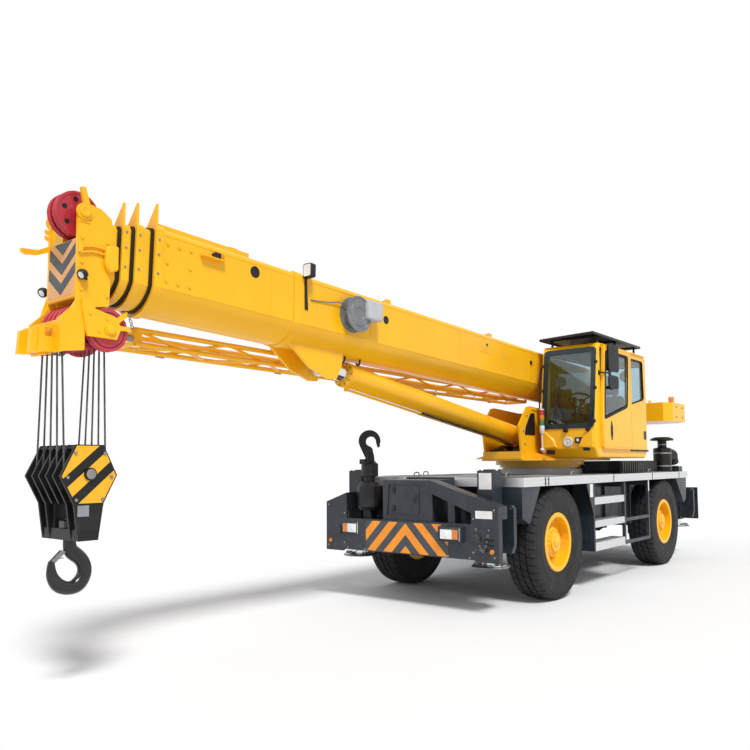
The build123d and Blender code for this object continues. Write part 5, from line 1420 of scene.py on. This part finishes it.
def step_units():
    """Bright grooved treads between folded grey posts, and the open rack behind them, on both sides."""
    y1 = deck_half - 0.004
    post, deep, tread_deep, low = 0.045, 0.330, 0.200, 0.482
    grey, bright, white = [], [], []
    for x in (step_x1 - post, step_x0, rack_x0):
        grey.append(block((x, y1 - post, low), (x + post, y1, arch_top - 0.0004), 0.004))
        grey.append(block((x, y1 - deep, 0.70), (x + post, y1 - deep + post, arch_top - 0.0004), 0.004))
        grey.append(block((x + 0.001, y1 - deep + 0.001, 1.291),
                          (x + post - 0.001, y1 - 0.001, arch_top - 0.001), 0.004))
    flare = [(step_x1 - 0.001, arch_top - 0.0005), (step_x1 + 0.189, arch_top - 0.0005),
             (step_x1 + 0.189, arch_top - 0.04), (step_x1 - 0.001, 0.96)]
    grey.append(plate(flare, "Y", y1 - 0.0138, y1 - 0.0002, 0.002))
    grey.append(block((step_x1 - 0.0078, y1 - deep + 0.001, low + 0.001),
                      (step_x1, y1 - post + 0.001, arch_top - 0.001), 0.002))
    for z in (low, 0.80):
        grey.append(block((rack_x0 + post - 0.001, y1 - post + 0.0005, z + 0.0005),
                          (step_x0 + 0.001, y1 - 0.0005, z + 0.0495), 0.005))
    # dark sheet panels behind the treads and the rack
    for x0, x1 in ((step_x0 + post, step_x1 - post), (rack_x0 + post, step_x0)):
        grey.append(block((x0, y1 - deep + 0.004, 0.72), (x1, y1 - deep + 0.010, arch_top - 0.004), 0.002))
    for z0, z1 in ((low, 0.592), (0.786, 0.876), (1.084, 1.180)):
        tread = [block((step_x0 + post + 0.0005, y1 - tread_deep, z0),
                       (step_x1 - post - 0.0005, y1 - 0.004, z1), 0.003)]
        ridges, ridge_share = 4, 0.72
        for i in range(ridges):
            za = z0 + 0.004 + (z1 - z0 - 0.008) * i / ridges
            zb = z0 + 0.004 + (z1 - z0 - 0.008) * (i + ridge_share) / ridges
            tread.append(block((step_x0 + post + 0.001, y1 - 0.006, za),
                               (step_x1 - post - 0.001, y1 - 0.0005, zb), 0.0025))
        for i in range(8):
            y = y1 - 0.02 - i * 0.022
            tread.append(block((step_x0 + post + 0.02, y - 0.006, z1 - 0.0012),
                               (step_x1 - post - 0.02, y + 0.002, z1 - 0.0001), 0.0005))
        bright += tread
    white.append(block((step_x1 + 0.012, y1 - 0.0004, 1.190),
                       (step_x1 + 0.104, y1 + 0.0015, 1.358), 0.0005))
    white.append(block((rack_x0 + 0.003, y1 - 0.0002, 1.20), (rack_x0 + 0.042, y1 + 0.0015, 1.36), 0.0005))
    bolts = []
    for x in (step_x1 - post / 2, step_x0 + post / 2):
        for z in (0.54, 0.83, 1.13):
            bolts.append(bolt((x, y1, z), (0, 1, 0), 0.009, 0.0018))
    cover = gather("step_posts", both(grey), "carrier_paint", "carrier")
    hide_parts("steps")
    gather("step_treads", both(bright), "aluminium_trim", "carrier")
    gather("step_bolts", both(bolts), "bare_steel", "carrier")
    gather("post_plates", both(white), "plate_white", "carrier")


def trim_joints():
    """Dark joint pieces and rubber bungs along the deck's bright edge."""
    y = deck_half
    rubber = []
    for x in (2.36, 2.28, 0.30, -1.25, -2.55):
        rubber.append(block((x - 0.016, y - 0.0265, deck_top - 0.1035),
                            (x + 0.016, y, deck_top - 0.0005), 0.002))
    for x in (1.55, 0.98, -0.14, -0.62, -1.88):
        rubber.append(block((x - 0.022, y - 0.010, deck_top - 0.100),
                            (x + 0.022, y - 0.0005, deck_top - 0.080), 0.003))
    gather("trim_joints", both(rubber), "moulded_black", "carrier")


def deck_dress():
    """Raised treadplate panels with their bars on the walkways, and handles beside them."""
    panels, loops = [], []
    z = deck_top
    for x0, x1, y0, y1 in ((1.25, 2.30, 0.62, 1.20), (0.10, 1.15, 0.98, 1.20), (-2.35, -1.50, 1.00, 1.20)):
        panels.append(block((x0, y0, z - 0.0005), (x1, y1, z + 0.004), 0.001))
        rows, columns = int((y1 - y0) / 0.055), int((x1 - x0) / 0.055)
        bar = block((-0.016, -0.004, 0), (0.016, 0.004, 0.0025), 0.0012)
        for i in range(columns):
            for j in range(rows):
                turn = Matrix.Rotation(pi / 4 if (i + j) % 2 else -pi / 4, 4, "Z")
                place = shifted(x0 + (i + 0.5) * (x1 - x0) / columns,
                                y0 + (j + 0.5) * (y1 - y0) / rows, z + 0.0035)
                panels.append(again(bar, place @ turn))
        discard(bar)
    for x, y in ((1.35, 1.16), (2.20, 0.70), (-1.58, 1.12)):
        bend = [(-0.06, 0.002), (-0.06, 0.045), (0, 0.052), (0.06, 0.045), (0.06, 0.002)]
        loops.append(pipe([(x + dx, y, z + dz) for dx, dz in bend], 0.008))
    gather("tread_panels", both(panels), "treadplate", "carrier", angle=20)
    gather("deck_loops", both(loops), "bare_steel", "carrier")


def front_dress():
    """Lamp glass and bezels, marker lamps, bolts, bars, a chain, a blank label and the cabinet's latch."""
    face = bumper_face
    black, lens, amber, steel = [], [], [], []
    # each lamp is clear towards the middle of the crane and amber outside
    for y0, y1, x in ((0.520, 0.780, face + 0.048), (-0.970, -0.720, face)):
        bezel = [(y0, 0.800), (y1, 0.800), (y1, 0.930), (y0, 0.930)]
        black.append(band(bezel, "X", x + 0.0115, x + 0.018, 0.010, 0.012))
        split = y0 + (y1 - y0) * (0.64 if y0 > 0 else 0.36)
        halves = (lens, amber) if y0 > 0 else (amber, lens)
        for glass, ya, yb in zip(halves, (y0 + 0.010, split), (split, y1 - 0.010)):
            glass.append(block((x + 0.0115, ya + 0.003, 0.812), (x + 0.0165, yb - 0.003, 0.918), 0.002))
        reflector = turned([(0, 0), (0.036, 0), (0.036, 0.002), (0.030, 0.004), (0, 0.0045)],
                           (x + 0.016, y0 + (y1 - y0) * (0.34 if y0 > 0 else 0.68), 0.865), (1, 0, 0), 28)
        lens.append(reflector)
    for side in (-1, 1):
        amber.append(disc((face, side * 1.16, 0.70), (1, 0, 0), 0.026, 0.016, 20, ((0.2, 0.005),)))
        for y, z in ((0.60, 0.60), (0.88, 0.60), (1.19, 0.62), (1.19, 1.12), (0.93, 1.02), (0.93, 0.66)):
            steel.append(bolt((face, side * y, z + 0.02), (1, 0, 0), 0.012, 0.009))
    # three bars over the opening in the left end plate
    for i in range(3):
        z = 0.70 + i * 0.055
        black.append(block((face - 0.001, 1.055, z), (face + 0.012, 1.175, z + 0.022), 0.003))
    gather("lamp_bezels", black, "moulded_black", "carrier")
    gather("lamp_glass", lens, "lamp_lens", "carrier")
    gather("front_markers", amber, "amber_lens", "carrier")
    # chain that hangs from the left end plate
    links = 12
    link = [(0.011, -0.0032), (0.0155, -0.0032), (0.0155, 0.0032), (0.011, 0.0032)]
    for k in range(links):
        t = k / (links - 1)
        y = 0.97 + 0.16 * t
        z = 0.93 - 0.23 * sin(pi * t)
        way = (0, 1, 0.2) if k % 2 else (1, 0, 0.2)
        steel.append(turned(link, (face + 0.012, y, z), way, 10))
    label = block((face - 0.0002, 0.955, 1.045), (face + 0.0018, 1.165, 1.128), 0.0006)
    gather("front_label", [label], "plate_white", "carrier")
    gather("front_steel", steel, "bare_steel", "carrier")
    # cabinet door: hinges and handle
    cabinet = face - 0.045
    trim = [block((cabinet - 0.010, -0.22, z - 0.035), (cabinet + 0.004, -0.18, z + 0.035), 0.004)
            for z in (1.12, 1.33)]
    grip = [(-0.004, 1.19), (0.022, 1.20), (0.022, 1.27), (-0.004, 1.28)]
    trim.append(pipe([(cabinet + dx, 0.12, z) for dx, z in grip], 0.006))
    gather("cabinet_latch", trim, "satin_black", "carrier")


def outrigger_dress():
    """Bolted cap on each jack's sleeve, rim and ribs on its float, blank plate on the front left sleeve."""
    for name, (end, side) in corners.items():
        x = 3.07 if end > 0 else -3.38
        body = "outrigger_beam_" + name
        y = side * 0.95
        cap = turned([(0.0, 0), (0.072, 0), (0.072, 0.010), (0.055, 0.016), (0, 0.016)], (x, y, 1.5545),
                     (0, 0, 1), 28)
        parts = [cap]
        for a, b in ((-1, -1), (-1, 1), (1, -1), (1, 1)):
            parts.append(bolt((x + a * 0.075, y + b * 0.075, 1.5548), (0, 0, 1), 0.011, 0.009))
        half = 0.0995
        rim = [(x - half, y - half), (x + half, y - half), (x + half, y + half), (x - half, y + half)]
        parts.append(band(rim, "Z", 1.535, 1.5565, 0.016, 0.012))
        gather("sleeve_cap_" + name, parts, "carrier_paint", body)
        pad = turned([(0, 0.0005), (0.214, 0.0005), (0.214, 0.006), (0.190, 0.0275), (0.11, 0.0285),
                      (0.105, 0.05), (0, 0.05)],
                     (x, y, 0.50), (0, 0, 1), 40)
        rib = block((0.072, -0.006, 0.028), (0.185, 0.006, 0.050), 0.002)
        ribs = all_round(rib, 6, "Z")
        for part in ribs:
            part.data.transform(shifted(x, y, 0.50))
        discard(rib)
        gather("float_dress_" + name, [pad] + ribs, "bare_steel", "outrigger_jack_" + name)
    white = [block((3.1702, 0.872, 1.350), (3.1720, 1.034, 1.530), 0.0006)]
    gather("jack_plate", white, "plate_white", "outrigger_beam_front_left")


def hood_dress():
    """Louvres and latches on the engine hood, and clamp bands round the intake."""
    z0, z1 = 1.50, 1.64
    hood_half = 0.930
    slats = []
    for i in range(16):
        x = -2.42 + i * 0.052
        slat = plate([(0, z0 + 0.01), (0.012, z0 + 0.02), (0.012, z1 - 0.02), (0, z1 - 0.01)], "X", x,
                     x + 0.030)
        for vertex in slat.data.vertices:
            vertex.co.y += hood_half - 0.001
        slats.append(slat)
    gather("hood_louvres", both(slats), "black_paint", "carrier")
    steel = []
    for x in (-2.1, -1.7):
        steel.append(block((x - 0.03, hood_half - 0.02, 1.658), (x + 0.03, hood_half + 0.008, 1.6655),
                           0.002))
    gather("hood_latches", both(steel), "bare_steel", "carrier")
    x, y = -2.76, deck_half - 0.338
    bands = [turned([(0.150, 0), (0.154, 0), (0.154, 0.024), (0.150, 0.024)], (x, y, z), (0, 0, 1), 40)
             for z in (1.56, 1.78)]
    bands.append(turned([(0.075, 0), (0.080, 0), (0.080, 0.018), (0.075, 0.018)], (x, y, 1.93), (0, 0, 1),
                        32))
    gather("intake_bands", bands, "bare_steel", "carrier")


# Turntable

def turntable_dress():
    """Ring bolts, pin caps with keepers, edge ribs, a black plate of painted shadow on the side plate, hoses
    and the valve block on the turntable.
    """
    steel = []
    ring_r, ring_bolts = 0.565, 36
    for k in range(ring_bolts):
        a = 2 * pi * k / ring_bolts
        steel.append(bolt((ring_r * cos(a), ring_r * sin(a), 1.6098), (0, 0, 1), 0.014, 0.0012))
    plate_y = 0.301
    for side in (-1, 1):
        for x, z in ((1.02, 1.90), (1.06, 2.08), (0.95, 2.30), (-0.30, 2.33), (-1.30, 2.80), (-1.60, 2.98),
                     (-2.30, 2.45)):
            steel.append(bolt((x, side * plate_y, z), (0, side, 0), 0.014, 0.010))
        for (x, z), y, r in ((cylinder_pin, 0.321, 0.044), (boom_pin, 0.341, 0.054)):
            steel.append(disc((x, side * y, z), (0, side, 0), r, 0.006, 28, ((0.3, 0.002),)))
    gather("turntable_bolts", steel, "bare_steel", "turntable")
    keepers = []
    for side in (-1, 1):
        for x, z, y in ((0.476, 2.075, 0.3003), (-1.75, 3.03, 0.3263)):
            low, high = outward(side, y, 0.010)
            keepers.append(block((x - 0.06, low, z - 0.016), (x + 0.06, high, z + 0.016), 0.003))
        # stiffening ribs along the side plate's edges
        low, high = outward(side, plate_y, 0.012)
        keepers.append(plate([(0.10, 2.352), (0.82, 2.392), (0.82, 2.410), (0.10, 2.370)], "Y", low, high,
                             0.002))
        keepers.append(plate([(-0.62, 2.372), (-1.40, 2.94), (-1.412, 2.925), (-0.63, 2.355)], "Y", low,
                             high, 0.002))
    gather("turntable_keepers", keepers, "yellow_paint", "turntable")
    # black plate on the side plate: painted shadow where the boom's shadow falls
    shadow_plate = plate([(0.72, 2.03), (1.02, 2.03), (0.99, 2.14), (0.84, 2.34), (0.72, 2.345)], "Y", 0.3003,
                   0.309, 0.003, 0.02)
    gather("turntable_shadow_plate", [shadow_plate], "satin_black", "turntable")
    hoses = []
    for i in range(4):
        y = -0.235 + i * 0.030
        hoses.append(pipe([(0.30, y, 1.815), (0.52, y, 1.85), (0.70, y - 0.01, 1.90),
                           (0.86, y, 1.84), (1.04, y, 1.812)], 0.013))
    for i in range(3):
        y = 0.16 + i * 0.034
        hoses.append(pipe([(0.20, y, 1.815), (0.50, y, 1.87), (0.80, y + 0.01, 1.93),
                           (0.98, y, 1.86), (1.10, y, 1.812)], 0.013))
    gather("turntable_hoses", hoses, "hose_rubber", "turntable")
    block_parts = [block((0.02, -0.26, 1.8003), (0.30, 0.05, 1.93), 0.012, 2)]
    for i in range(5):
        x = 0.04 + i * 0.052
        block_parts.append(block((x, -0.22, 1.929), (x + 0.035, -0.02, 1.975), 0.006))
    gather("valve_block", block_parts, "bare_steel", "turntable")


def counterweight_dress():
    """Lifting eyes and side bolts on the counterweight."""
    z1 = 2.64
    eyes, bolts = [], []
    for x, y in ((-2.62, 0.80), (-3.15, 0.45)):
        bend = [(-0.05, -0.004), (-0.05, 0.05), (0, 0.075), (0.05, 0.05), (0.05, -0.004)]
        eyes.append(pipe([(x + dx, y, z1 + dz) for dx, dz in bend], 0.011))
        eyes.append(disc((x, y, z1 - 0.0005), (0, 0, 1), 0.085, 0.004, 28, ((0.2, 0.001),)))
    gather("counterweight_eyes", both(eyes), "yellow_paint", "turntable")
    for x in (-2.60, -2.92):
        for z in (2.40, 2.57):
            bolts.append(bolt((x, 1.2497, z), (0, 1, 0), 0.016, 0.011))
    gather("counterweight_bolts", both(bolts), "bare_steel", "turntable")


def barrel_dress():
    """Gland bolts, hoses and their fitting on the lift barrel, drawn along +X from its lower pin."""
    run, rise = cylinder_eye[0] - cylinder_pin[0], cylinder_eye[1] - cylinder_pin[1]
    length = hypot(run, rise)
    place = world @ shifted(cylinder_pin[0], 0, cylinder_pin[1]) @ Matrix.Rotation(-atan2(rise, run), 4,
                                                                                   "Y")
    gland_ring, gland_screws = 0.112, 10
    parts = []
    for k in range(gland_screws):
        a = 2 * pi * k / gland_screws
        centre = (length - 0.3305, gland_ring * cos(a), gland_ring * sin(a))
        parts.append(bolt(centre, (1, 0, 0), 0.010, 0.008))
    parts.append(disc((0.35, 0, -0.124), (0, 0, -1), 0.034, 0.030, 20, ((0.2, 0.006),)))
    gather("gland_bolts", parts, "bare_steel", "lift_barrel", place)
    hoses = []
    for y in (-0.030, 0.030):
        hoses.append(pipe([(0.36, y * 0.4, -0.150), (0.42, y, -0.172), (0.70, y, -0.150),
                           (1.10, y, -0.146), (1.7, y, -0.147), (2.6, y, -0.147)], 0.011))
    gather("barrel_hoses", hoses, "hose_rubber", "lift_barrel", place)


def rear_dress():
    """Tail lamps, bolts and the two lips of the towing jaw at the rear."""
    x = -3.72
    red, amber, steel = [], [], []
    for side in (-1, 1):
        y = side * 0.85
        red.append(block((x, y - 0.145, 0.868), (x + 0.004, y + 0.02, 0.952), 0.0015))
        amber.append(block((x, y + 0.03, 0.868), (x + 0.004, y + 0.145, 0.952), 0.0015))
        for y, z in ((1.18, 0.66), (1.18, 1.14), (0.55, 1.28), (0.55, 0.66)):
            steel.append(bolt((x + 0.0222, side * y, z), (-1, 0, 0), 0.013, 0.010))
    for z in (0.70, 0.80):
        steel.append(plate([(x + 0.023, -0.07), (x + 0.0005, -0.05), (x + 0.0005, 0.05), (x + 0.023, 0.07)],
                           "Z", z, z + 0.02, 0.002))
    gather("tail_red", red, "red_lens", "carrier")
    gather("tail_amber", amber, "amber_lens", "carrier")
    gather("rear_bolts", steel, "bare_steel", "carrier")


set_camera()
set_light()
set_floor()
dress_cad()
make_wheels()
front_chevrons()
hook_block_dress()
hook()
ropes()
cab_seals()
cab_front()
cab_sides()
cab_inside()
mirrors()
signal_tower()
sun_shade()
boom_sides()
boom_top()
section_marks()
head_dress()
reel()
flood_lamp()
jib_dress()
step_units()
trim_joints()
deck_dress()
front_dress()
outrigger_dress()
hood_dress()
turntable_dress()
counterweight_dress()
barrel_dress()
rear_dress()

scene = bpy.context.scene
scene.view_settings.view_transform = "Standard"
